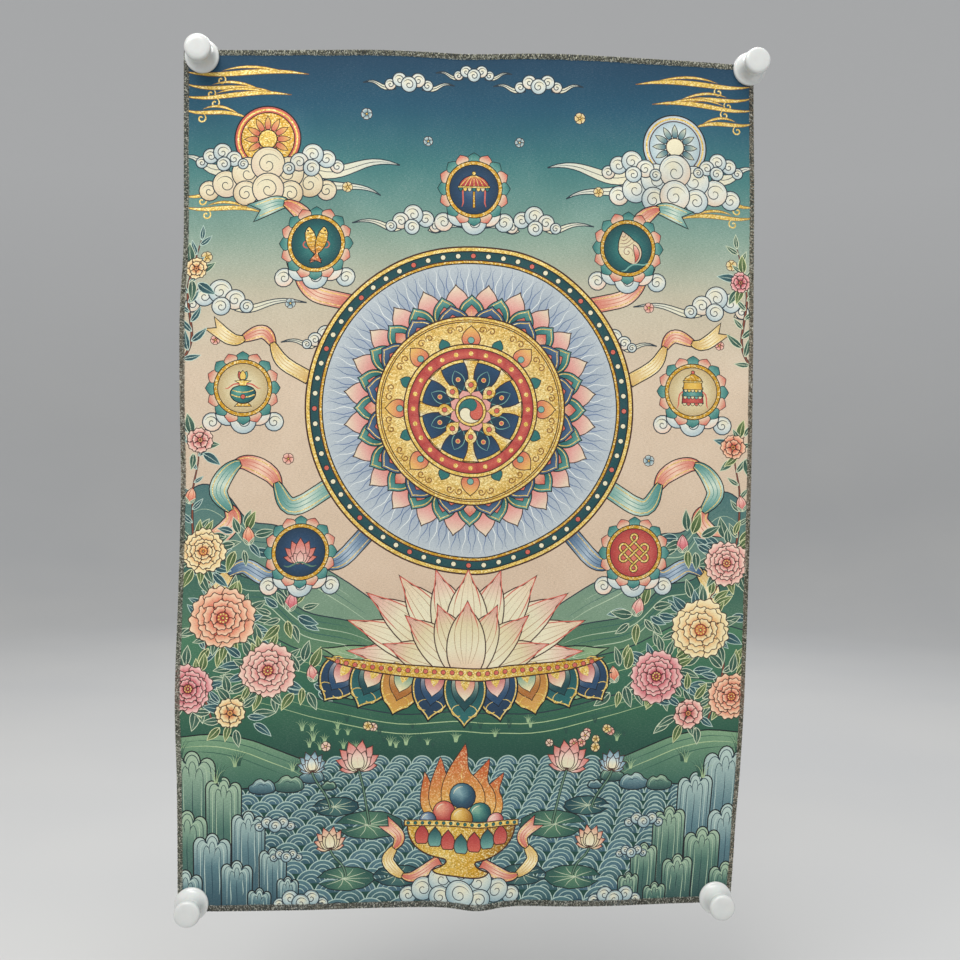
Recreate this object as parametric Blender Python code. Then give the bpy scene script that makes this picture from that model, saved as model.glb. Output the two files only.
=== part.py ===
# Thangka wall hanging: one woven brocade panel with an overlocked edge, held
# at its four corners by spool-shaped push pins.
#
# Units are metres, +Z is up.  The wall plane is Y = 0 and the face of the
# cloth looks along -Y.  The origin is the middle of the panel's top edge, on
# the wall plane.  "across" runs to the right of that point and "down" runs
# below it.

import math

import bmesh
import bpy

MM = 0.001

# ---- the cloth ---------------------------------------------------------------
PANEL_WIDTH = 600.0 * MM        # cut width, overlocked edge included
PANEL_HEIGHT = 900.0 * MM       # cut height, overlocked edge included
CLOTH_THICKNESS = 1.2 * MM
CELLS_ACROSS = 28
CELLS_DOWN = 42

# Where each edge of the hung panel runs, against a true 600 x 900 rectangle.
# A positive "out" is outside that rectangle.
TOP_EDGE = (
    # across (mm)  out (mm)
    (-300.0, -3.0),
    (-225.0, -0.5),
    (-150.0, 1.9),
    (-100.0, 3.3),
    (-45.0, 2.6),
    (-5.0, 1.8),
    (80.0, 5.6),
    (160.0, 5.4),
    (230.0, 4.6),
    (300.0, 2.3),
)
HEM_EDGE = (
    # across (mm)  out (mm)
    (-300.0, 3.2),
    (-220.0, 3.5),
    (-120.0, 1.2),
    (-55.0, 1.2),
    (-14.0, 2.0),
    (18.0, 4.2),
    (50.0, 1.5),
    (115.0, 2.5),
    (220.0, 2.3),
    (300.0, 1.0),
)
LEFT_EDGE = (
    # down (mm)  out (mm)
    (0.0, 0.8),
    (110.0, 0.0),
    (200.0, -0.6),
    (270.0, 2.4),
    (360.0, 1.8),
    (450.0, 0.3),
    (560.0, 1.8),
    (680.0, 4.4),
    (760.0, 2.2),
    (900.0, 0.5),
)
RIGHT_EDGE = (
    # down (mm)  out (mm)
    (0.0, 0.6),
    (70.0, 2.1),
    (140.0, 3.5),
    (350.0, 4.2),
    (550.0, 3.4),
    (680.0, 2.0),
    (765.0, -1.2),
    (810.0, -4.2),
    (860.0, -6.4),
    (900.0, -8.9),
)

# Soft folds and swells that lift the cloth off the wall.  Each is a smooth
# mound: its long axis runs at "angle" above the horizontal.
FOLDS = (
    # name            across   down  angle  half_length  half_width  rise
    #                   (mm)   (mm)  (deg)         (mm)        (mm)  (mm)
    ("belly",           10.0, 470.0,  90.0,       420.0,      250.0,  6.5),
    ("top_edge_swell",  20.0,  10.0,   0.0,       230.0,      120.0,  4.4),
    ("right_edge_lift", 300.0, 440.0, 88.0,       300.0,       95.0,  7.0),
    ("left_edge_low",  -300.0, 650.0, 92.0,       140.0,       80.0,  4.2),
    ("left_edge_high", -300.0, 320.0, 89.0,       130.0,       70.0,  3.4),
    ("hem_ripple",      20.0, 895.0,  84.0,       110.0,       36.0,  7.5),
    ("hem_swell_left", -150.0, 885.0, 12.0,       120.0,       70.0,  4.0),
    ("hem_swell_right", 165.0, 885.0, -12.0,      110.0,       66.0,  4.4),
    ("top_left_pull", -165.0, 120.0, -44.0,       150.0,       26.0,  3.2),
    ("top_right_pull", 185.0, 125.0,  47.0,       160.0,       25.0,  3.4),
    ("low_left_pull", -180.0, 790.0,  43.0,       130.0,       25.0,  2.8),
    ("low_right_pull", 175.0, 785.0, -40.0,       140.0,       26.0,  3.0),
)
FOLD_FALLOFF = 1.6

# ---- the push pins -----------------------------------------------------------
PINS = (
    # name               across   down   (mm, centre of the flange)
    ("pin_top_left",     -282.2,   9.2),
    ("pin_top_right",     296.2,   1.7),
    ("pin_bottom_left",  -286.2, 894.7),
    ("pin_bottom_right",  274.4, 896.1),
)
PIN_GAP = 0.3 * MM              # flange to cloth
PIN_SEGMENTS = 32
PRESSED_RADIUS = 34.0 * MM      # cloth is pressed flat on the wall inside this
FREE_RADIUS = 150.0 * MM        # cloth hangs freely outside this

# Turned profile of one pin, from the flange's underside to the head.
PIN_PROFILE = (
    # radius (mm)  height (mm)
    (16.9, 0.0),
    (17.6, 0.7),
    (17.6, 2.6),
    (16.8, 3.8),
    (14.9, 5.2),
    (13.0, 8.2),
    (11.5, 13.0),
    (11.1, 18.0),
    (11.6, 22.4),
    (12.8, 25.2),
    (13.5, 27.6),
    (13.6, 30.2),
    (12.9, 32.1),
    (11.2, 33.2),
    (8.0, 33.6),
)


def ease(t):
    """0 to 1, flat at both ends."""
    t = min(1.0, max(0.0, t))
    return t * t * (3.0 - 2.0 * t)


def read_table(table, at):
    """Smooth curve through a two-column table in millimetres."""
    last = len(table) - 1
    i = 0
    while i < last - 1 and at > table[i + 1][0]:
        i += 1
    x0, y0 = table[i]
    x1, y1 = table[i + 1]

    def slope(k):
        a, b = max(0, k - 1), min(last, k + 1)
        return (table[b][1] - table[a][1]) / (table[b][0] - table[a][0])

    step = x1 - x0
    t = min(1.0, max(0.0, (at - x0) / step))
    t2, t3 = t * t, t * t * t
    return ((2 * t3 - 3 * t2 + 1) * y0 + (t3 - 2 * t2 + t) * step * slope(i)
            + (3 * t2 - 2 * t3) * y1 + (t3 - t2) * step * slope(i + 1))


def edge_points(u, v):
    """The four edge points that bound the place u across and v down."""
    half = PANEL_WIDTH / 2
    across = (u - 0.5) * PANEL_WIDTH
    down = v * PANEL_HEIGHT
    corner_in = {
        "tl": (-half - read_table(LEFT_EDGE, 0.0) * MM, read_table(TOP_EDGE, -300.0) * MM),
        "tr": (half + read_table(RIGHT_EDGE, 0.0) * MM, read_table(TOP_EDGE, 300.0) * MM),
        "bl": (-half - read_table(LEFT_EDGE, 900.0) * MM,
               -PANEL_HEIGHT - read_table(HEM_EDGE, -300.0) * MM),
        "br": (half + read_table(RIGHT_EDGE, 900.0) * MM,
               -PANEL_HEIGHT - read_table(HEM_EDGE, 300.0) * MM),
    }
    top_x = corner_in["tl"][0] * (1 - u) + corner_in["tr"][0] * u
    hem_x = corner_in["bl"][0] * (1 - u) + corner_in["br"][0] * u
    top = (top_x, read_table(TOP_EDGE, across / MM) * MM)
    hem = (hem_x, -PANEL_HEIGHT - read_table(HEM_EDGE, across / MM) * MM)
    left_z = corner_in["tl"][1] * (1 - v) + corner_in["bl"][1] * v
    right_z = corner_in["tr"][1] * (1 - v) + corner_in["br"][1] * v
    left = (-half - read_table(LEFT_EDGE, down / MM) * MM, left_z)
    right = (half + read_table(RIGHT_EDGE, down / MM) * MM, right_z)
    return top, hem, left, right, corner_in


def on_wall(u, v):
    """Place of the cloth's point (u, v) seen square to the wall: a patch
    stretched between the four edges."""
    top, hem, left, right, c = edge_points(u, v)
    out = []
    for k in (0, 1):
        out.append(
            (1 - v) * top[k] + v * hem[k] + (1 - u) * left[k] + u * right[k]
            - (1 - u) * (1 - v) * c["tl"][k] - u * (1 - v) * c["tr"][k]
            - (1 - u) * v * c["bl"][k] - u * v * c["br"][k])
    return out[0], out[1]


def stand_off(x, z):
    """How far the cloth's back stands off the wall at x, z."""
    rise = 0.0
    for _name, across, down, angle, half_length, half_width, height in FOLDS:
        turn = math.radians(angle)
        dx, dz = x - across * MM, z + down * MM
        along = (dx * math.cos(turn) + dz * math.sin(turn)) / (half_length * MM)
        side = (-dx * math.sin(turn) + dz * math.cos(turn)) / (half_width * MM)
        rise += height * MM * math.exp(-FOLD_FALLOFF * (along * along + side * side))
    for _name, across, down in PINS:
        reach = math.hypot(x - across * MM, z + down * MM)
        rise *= ease((reach - PRESSED_RADIUS) / (FREE_RADIUS - PRESSED_RADIUS))
    return rise


def make_material(name, colour, roughness, metallic=0.0):
    material = bpy.data.materials.new(name)
    material.use_nodes = True
    shader = material.node_tree.nodes["Principled BSDF"]
    shader.inputs["Base Color"].default_value = (*colour, 1.0)
    shader.inputs["Roughness"].default_value = roughness
    shader.inputs["Metallic"].default_value = metallic
    material.diffuse_color = (*colour, 1.0)
    return material


def add_object(name, bm, material):
    mesh = bpy.data.meshes.new(name)
    bm.to_mesh(mesh)
    bm.free()
    mesh.materials.append(material)
    obj = bpy.data.objects.new(name, mesh)
    bpy.context.scene.collection.objects.link(obj)
    return obj


def build_cloth(material):
    """The panel: a front and a back sheet of cells, closed round the edge."""
    bm = bmesh.new()
    front, back = [], []
    for j in range(CELLS_DOWN + 1):
        front_row, back_row = [], []
        for i in range(CELLS_ACROSS + 1):
            x, z = on_wall(i / CELLS_ACROSS, j / CELLS_DOWN)
            off = stand_off(x, z)
            back_row.append(bm.verts.new((x, -off, z)))
            front_row.append(bm.verts.new((x, -off - CLOTH_THICKNESS, z)))
        front.append(front_row)
        back.append(back_row)
    for j in range(CELLS_DOWN):
        for i in range(CELLS_ACROSS):
            for grid, outward in ((front, True), (back, False)):
                a, b = grid[j][i], grid[j][i + 1]
                c, d = grid[j + 1][i + 1], grid[j + 1][i]
                # the diagonal alternates, so folds do not lean one way
                if (i + j) % 2:
                    pair = ((a, d, c), (a, c, b))
                else:
                    pair = ((a, d, b), (b, d, c))
                for tri in pair:
                    bm.faces.new(tri if outward else tuple(reversed(tri)))
    ring = ([(0, i) for i in range(CELLS_ACROSS)]
            + [(j, CELLS_ACROSS) for j in range(CELLS_DOWN)]
            + [(CELLS_DOWN, i) for i in range(CELLS_ACROSS, 0, -1)]
            + [(j, 0) for j in range(CELLS_DOWN, 0, -1)])
    for k, (j, i) in enumerate(ring):
        jn, i_n = ring[(k + 1) % len(ring)]
        bm.faces.new((front[j][i], front[jn][i_n], back[jn][i_n], back[j][i]))
    bmesh.ops.triangulate(bm, faces=[f for f in bm.faces if len(f.verts) == 4])
    bmesh.ops.recalc_face_normals(bm, faces=bm.faces[:])
    return add_object("cloth_panel", bm, material)


def build_pin(name, across, down, material):
    """One push pin, turned about an axis square to the wall."""
    bm = bmesh.new()
    rings = []
    for radius, height in PIN_PROFILE:
        ring = []
        for k in range(PIN_SEGMENTS):
            turn = 2 * math.pi * k / PIN_SEGMENTS
            ring.append(bm.verts.new((radius * MM * math.cos(turn), -height * MM,
                                      radius * MM * math.sin(turn))))
        rings.append(ring)
    for low, high in zip(rings, rings[1:]):
        for k in range(PIN_SEGMENTS):
            n = (k + 1) % PIN_SEGMENTS
            bm.faces.new((low[k], low[n], high[n], high[k]))
    bm.faces.new(rings[0])
    bm.faces.new(rings[-1])
    bmesh.ops.recalc_face_normals(bm, faces=bm.faces[:])
    for face in bm.faces:
        face.smooth = True
    obj = add_object(name, bm, material)
    obj.location = (across * MM, -(CLOTH_THICKNESS + PIN_GAP), -down * MM)
    obj.data.set_sharp_from_angle(angle=math.radians(40))
    return obj


def main():
    for obj in list(bpy.data.objects):
        bpy.data.objects.remove(obj, do_unlink=True)
    brocade = make_material("brocade", (0.16, 0.30, 0.32), 0.62)
    white_plastic = make_material("white_plastic", (0.83, 0.84, 0.82), 0.32)
    build_cloth(brocade)
    for name, across, down in PINS:
        build_pin(name, across, down, white_plastic)


main()
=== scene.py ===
# Looks of the thangka wall hanging: the woven panel with its design, the
# overlocked edge, the pins, and a plain studio.
#
# The panel's design is laid out flat, in millimetres, from its top left
# corner: x runs 0 to 600 to the right and y runs 0 to 900 down.  Every motif
# is a traditional one (lotus, wheel, the auspicious signs, clouds, peonies,
# waves), drawn by the functions below in this panel's own arrangement.

import math
import random
import time

import bmesh
import bpy
import numpy as np
from mathutils import Matrix, Vector
from mathutils.geometry import delaunay_2d_cdt


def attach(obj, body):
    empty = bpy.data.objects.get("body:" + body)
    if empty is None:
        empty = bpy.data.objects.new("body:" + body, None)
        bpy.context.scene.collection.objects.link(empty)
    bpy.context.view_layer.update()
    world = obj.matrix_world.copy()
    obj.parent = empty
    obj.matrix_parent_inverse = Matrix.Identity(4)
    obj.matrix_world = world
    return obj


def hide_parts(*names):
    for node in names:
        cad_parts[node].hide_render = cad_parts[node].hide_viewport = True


STARTED = time.time()
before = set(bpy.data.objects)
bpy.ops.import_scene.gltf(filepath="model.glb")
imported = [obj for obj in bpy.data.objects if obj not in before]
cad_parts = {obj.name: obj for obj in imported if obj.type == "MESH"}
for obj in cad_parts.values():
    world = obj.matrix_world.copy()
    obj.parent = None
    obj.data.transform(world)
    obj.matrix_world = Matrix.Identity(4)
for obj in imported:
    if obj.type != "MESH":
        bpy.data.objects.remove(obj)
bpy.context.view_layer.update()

MM = 0.001
TAU = 2 * math.pi

# =============================================================================
# The form in which the cloth hangs (the same sizes as the construction model)
# =============================================================================
PANEL_WIDTH = 600.0
PANEL_HEIGHT = 900.0
CLOTH_THICKNESS = 1.2

TOP_EDGE = ((-300.0, -3.0), (-225.0, -0.5), (-150.0, 1.9), (-100.0, 3.3),
            (-45.0, 2.6), (-5.0, 1.8), (80.0, 5.6), (160.0, 5.4),
            (230.0, 4.6), (300.0, 2.3))
HEM_EDGE = ((-300.0, 3.2), (-220.0, 3.5), (-120.0, 1.2), (-55.0, 1.2),
            (-14.0, 2.0), (18.0, 4.2), (50.0, 1.5), (115.0, 2.5),
            (220.0, 2.3), (300.0, 1.0))
LEFT_EDGE = ((0.0, 0.8), (110.0, 0.0), (200.0, -0.6), (270.0, 2.4),
             (360.0, 1.8), (450.0, 0.3), (560.0, 1.8), (680.0, 4.4),
             (760.0, 2.2), (900.0, 0.5))
RIGHT_EDGE = ((0.0, 0.6), (70.0, 2.1), (140.0, 3.5), (350.0, 4.2),
              (550.0, 3.4), (680.0, 2.0), (765.0, -1.2), (810.0, -4.2),
              (860.0, -6.4), (900.0, -8.9))
FOLDS = (
    # across  down  angle  half_length  half_width  rise
    (10.0, 470.0, 90.0, 420.0, 250.0, 6.5),
    (20.0, 10.0, 0.0, 230.0, 120.0, 4.4),
    (300.0, 440.0, 88.0, 300.0, 95.0, 7.0),
    (-300.0, 650.0, 92.0, 140.0, 80.0, 4.2),
    (-300.0, 320.0, 89.0, 130.0, 70.0, 3.4),
    (20.0, 895.0, 84.0, 110.0, 36.0, 7.5),
    (-150.0, 885.0, 12.0, 120.0, 70.0, 4.0),
    (165.0, 885.0, -12.0, 110.0, 66.0, 4.4),
    (-165.0, 120.0, -44.0, 150.0, 26.0, 3.2),
    (185.0, 125.0, 47.0, 160.0, 25.0, 3.4),
    (-180.0, 790.0, 43.0, 130.0, 25.0, 2.8),
    (175.0, 785.0, -40.0, 140.0, 26.0, 3.0),
)
FOLD_FALLOFF = 1.6
PINS = (
    ("pin_top_left", -282.2, 9.2),
    ("pin_top_right", 296.2, 1.7),
    ("pin_bottom_left", -286.2, 894.7),
    ("pin_bottom_right", 274.4, 896.1),
)
PIN_GAP = 0.3
PRESSED_RADIUS = 34.0
FREE_RADIUS = 150.0


def ease(t):
    t = np.clip(t, 0.0, 1.0)
    return t * t * (3.0 - 2.0 * t)


def read_table(table, at):
    """Smooth curve through a two-column table, for an array of places."""
    tab = np.array(table, float)
    xs, ys = tab[:, 0], tab[:, 1]
    last = len(xs) - 1
    at = np.asarray(at, float)
    i = np.clip(np.searchsorted(xs, at, side="left") - 1, 0, last - 1)
    slopes = np.empty(len(xs))
    for k in range(len(xs)):
        a, b = max(0, k - 1), min(last, k + 1)
        slopes[k] = (ys[b] - ys[a]) / (xs[b] - xs[a])
    step = xs[i + 1] - xs[i]
    t = np.clip((at - xs[i]) / step, 0.0, 1.0)
    t2, t3 = t * t, t * t * t
    return ((2 * t3 - 3 * t2 + 1) * ys[i] + (t3 - 2 * t2 + t) * step * slopes[i]
            + (3 * t2 - 2 * t3) * ys[i + 1] + (t3 - t2) * step * slopes[i + 1])


def on_wall(x, y):
    """Flat design place (mm from the top left) to the place square to the wall."""
    u, v = x / PANEL_WIDTH, y / PANEL_HEIGHT
    half = PANEL_WIDTH / 2
    across = (u - 0.5) * PANEL_WIDTH
    down = v * PANEL_HEIGHT
    tl = (-half - read_table(LEFT_EDGE, 0.0), read_table(TOP_EDGE, -300.0))
    tr = (half + read_table(RIGHT_EDGE, 0.0), read_table(TOP_EDGE, 300.0))
    bl = (-half - read_table(LEFT_EDGE, 900.0), -PANEL_HEIGHT - read_table(HEM_EDGE, -300.0))
    br = (half + read_table(RIGHT_EDGE, 900.0), -PANEL_HEIGHT - read_table(HEM_EDGE, 300.0))
    top = (tl[0] * (1 - u) + tr[0] * u, read_table(TOP_EDGE, across))
    hem = (bl[0] * (1 - u) + br[0] * u, -PANEL_HEIGHT - read_table(HEM_EDGE, across))
    left = (-half - read_table(LEFT_EDGE, down), tl[1] * (1 - v) + bl[1] * v)
    right = (half + read_table(RIGHT_EDGE, down), tr[1] * (1 - v) + br[1] * v)
    out = []
    for k in (0, 1):
        out.append((1 - v) * top[k] + v * hem[k] + (1 - u) * left[k] + u * right[k]
                   - (1 - u) * (1 - v) * tl[k] - u * (1 - v) * tr[k]
                   - (1 - u) * v * bl[k] - u * v * br[k])
    return out[0], out[1]


def stand_off(x, z):
    """How far the cloth's back stands off the wall (mm) at x, z (mm)."""
    rise = np.zeros(np.shape(x))
    for across, down, angle, half_length, half_width, height in FOLDS:
        turn = math.radians(angle)
        dx, dz = x - across, z + down
        along = (dx * math.cos(turn) + dz * math.sin(turn)) / half_length
        side = (-dx * math.sin(turn) + dz * math.cos(turn)) / half_width
        rise = rise + height * np.exp(-FOLD_FALLOFF * (along * along + side * side))
    for _name, across, down in PINS:
        reach = np.hypot(x - across, z + down)
        rise = rise * ease((reach - PRESSED_RADIUS) / (FREE_RADIUS - PRESSED_RADIUS))
    return rise


def hang(pts, lift=0.0):
    """Flat design places to the hung cloth's points, in metres.  lift is the
    height over the cloth's back, in mm: CLOTH_THICKNESS is the front."""
    pts = np.asarray(pts, float).reshape(-1, 2)
    x, z = on_wall(pts[:, 0], pts[:, 1])
    off = stand_off(x, z) + lift
    return np.stack([x, -off, z], 1) * MM


def hang_normals(pts):
    """Unit normals of the hung cloth's front at flat design places."""
    d = 1.0
    px = hang(pts + np.array([d, 0])) - hang(pts - np.array([d, 0]))
    py = hang(pts + np.array([0, d])) - hang(pts - np.array([0, d]))
    n = np.cross(py, px)
    n /= np.linalg.norm(n, axis=1)[:, None]
    return np.where(n[:, 1:2] > 0, -n, n)


# =============================================================================
# Drawing kit: paths, paints, and a painter's-order list of shapes
# =============================================================================
def P(*pts):
    return np.array(pts, float)


def bez(p0, p1, p2, p3, n=12):
    t = np.linspace(0, 1, n + 1)[:, None]
    p0, p1, p2, p3 = (np.array(p, float) for p in (p0, p1, p2, p3))
    return ((1 - t) ** 3 * p0 + 3 * (1 - t) ** 2 * t * p1
            + 3 * (1 - t) * t ** 2 * p2 + t ** 3 * p3)


def join(*paths):
    out = [np.asarray(paths[0], float)]
    for p in paths[1:]:
        p = np.asarray(p, float)
        out.append(p[1:] if np.hypot(*(p[0] - out[-1][-1])) < 1e-6 else p)
    return np.vstack(out)


def smooth(points, n=8, closed=False):
    """Catmull-Rom curve through the points."""
    p = np.asarray(points, float)
    if closed:
        ext = np.vstack([p[-1], p, p[0], p[1]])
        m = len(p)
    else:
        ext = np.vstack([2 * p[0] - p[1], p, 2 * p[-1] - p[-2]])
        m = len(p) - 1
    t = np.linspace(0, 1, n, endpoint=False)[:, None]
    out = []
    for i in range(m):
        a, b, c, d = ext[i:i + 4]
        out.append(0.5 * (2 * b + (c - a) * t + (2 * a - 5 * b + 4 * c - d) * t * t
                          + (3 * b - a - 3 * c + d) * t ** 3))
    if not closed:
        out.append(p[-1:])
    return np.vstack(out)


def arc(cx, cy, rx, ry=None, a0=0.0, a1=360.0, n=None):
    ry = rx if ry is None else ry
    span = abs(a1 - a0)
    if n is None:
        n = max(6, int(span / 360 * 40))
    full = abs(span - 360) < 1e-6
    a = np.radians(np.linspace(a0, a1, n + (0 if full else 1), endpoint=not full))
    return np.stack([cx + rx * np.cos(a), cy + ry * np.sin(a)], 1)


def spiral(cx, cy, r0, r1, a0, turns, n=28):
    t = np.linspace(0, 1, n + 1)
    a = np.radians(a0) + TAU * turns * t
    r = r0 + (r1 - r0) * t ** 0.85
    return np.stack([cx + r * np.cos(a), cy + r * np.sin(a)], 1)


def mirror(path):
    path = np.asarray(path, float)
    return np.stack([-path[:, 0], path[:, 1]], 1)[::-1]


def both(path):
    """A path from the axis x = 0 round the right side, closed by its mirror."""
    return join(path, mirror(path))


def unit(v):
    length = np.hypot(v[:, 0], v[:, 1])
    length[length < 1e-9] = 1.0
    return v / length[:, None]


def thin_out(p, tol):
    """Douglas-Peucker."""
    n = len(p)
    if n < 3:
        return p
    keep = np.zeros(n, bool)
    keep[0] = keep[-1] = True
    stack = [(0, n - 1)]
    while stack:
        a, b = stack.pop()
        if b - a < 2:
            continue
        seg = p[b] - p[a]
        length = math.hypot(seg[0], seg[1])
        q = p[a + 1:b] - p[a]
        if length < 1e-9:
            d = np.hypot(q[:, 0], q[:, 1])
        else:
            d = np.abs(q[:, 0] * seg[1] - q[:, 1] * seg[0]) / length
        k = int(np.argmax(d))
        if d[k] > tol:
            keep[a + 1 + k] = True
            stack += [(a, a + 1 + k), (a + 1 + k, b)]
    return p[keep]


def thin_ring(p, tol):
    far = int(np.argmax(np.hypot(*(p - p[0]).T)))
    if far == 0:
        return p
    a = thin_out(p[:far + 1], tol)
    b = thin_out(np.vstack([p[far:], p[:1]]), tol)
    return np.vstack([a, b[1:-1]])


class Paint:
    """A colour, or a shading between colours (sRGB 0-255), at design places."""

    def __init__(self, kind, a=(0, 0), b=(1, 0), stops=()):
        self.kind, self.a, self.b = kind, np.array(a, float), np.array(b, float)
        if kind == "flat":
            self.t, self.c = None, np.array(stops, float)
        else:
            if len(stops[0]) == 2:
                self.t = np.array([s[0] for s in stops], float)
                self.c = np.array([s[1] for s in stops], float)
            else:
                self.t = np.linspace(0, 1, len(stops))
                self.c = np.array(stops, float)

    def at(self, p):
        if self.kind == "flat":
            return np.broadcast_to(self.c, (len(p), 3))
        if self.kind == "fade":
            d = self.b - self.a
            t = ((p - self.a) @ d) / max(1e-9, d @ d)
        else:
            r0, r1 = self.b
            t = (np.hypot(p[:, 0] - self.a[0], p[:, 1] - self.a[1]) - r0) / max(1e-9, r1 - r0)
        return np.stack([np.interp(t, self.t, self.c[:, k]) for k in range(3)], 1)


def paint(c):
    return c if isinstance(c, Paint) else Paint("flat", stops=c)


class Place:
    """A place, turn, size and flip on the design."""

    def __init__(self, x=0.0, y=0.0, turn=0.0, size=1.0, flip=False, m=None, t=None):
        if m is None:
            a = math.radians(turn)
            f = -1.0 if flip else 1.0
            m = np.array([[math.cos(a) * f, -math.sin(a)], [math.sin(a) * f, math.cos(a)]]) * size
            t = np.array([x, y], float)
        self.m, self.t = m, t
        self.size = math.sqrt(abs(np.linalg.det(m)))

    def at(self, x=0.0, y=0.0, turn=0.0, size=1.0, flip=False):
        o = Place(x, y, turn, size, flip)
        return Place(m=self.m @ o.m, t=self.m @ o.t + self.t)

    def __call__(self, pts):
        return np.asarray(pts, float).reshape(-1, 2) @ self.m.T + self.t

    def pt(self, x, y):
        return self.m @ np.array([x, y], float) + self.t

    def fade(self, p0, p1, *stops):
        return Paint("fade", self.pt(*p0), self.pt(*p1), stops)

    def glow(self, c, r0, r1, *stops):
        return Paint("glow", self.pt(*c), (r0 * self.size, r1 * self.size), stops)


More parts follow.
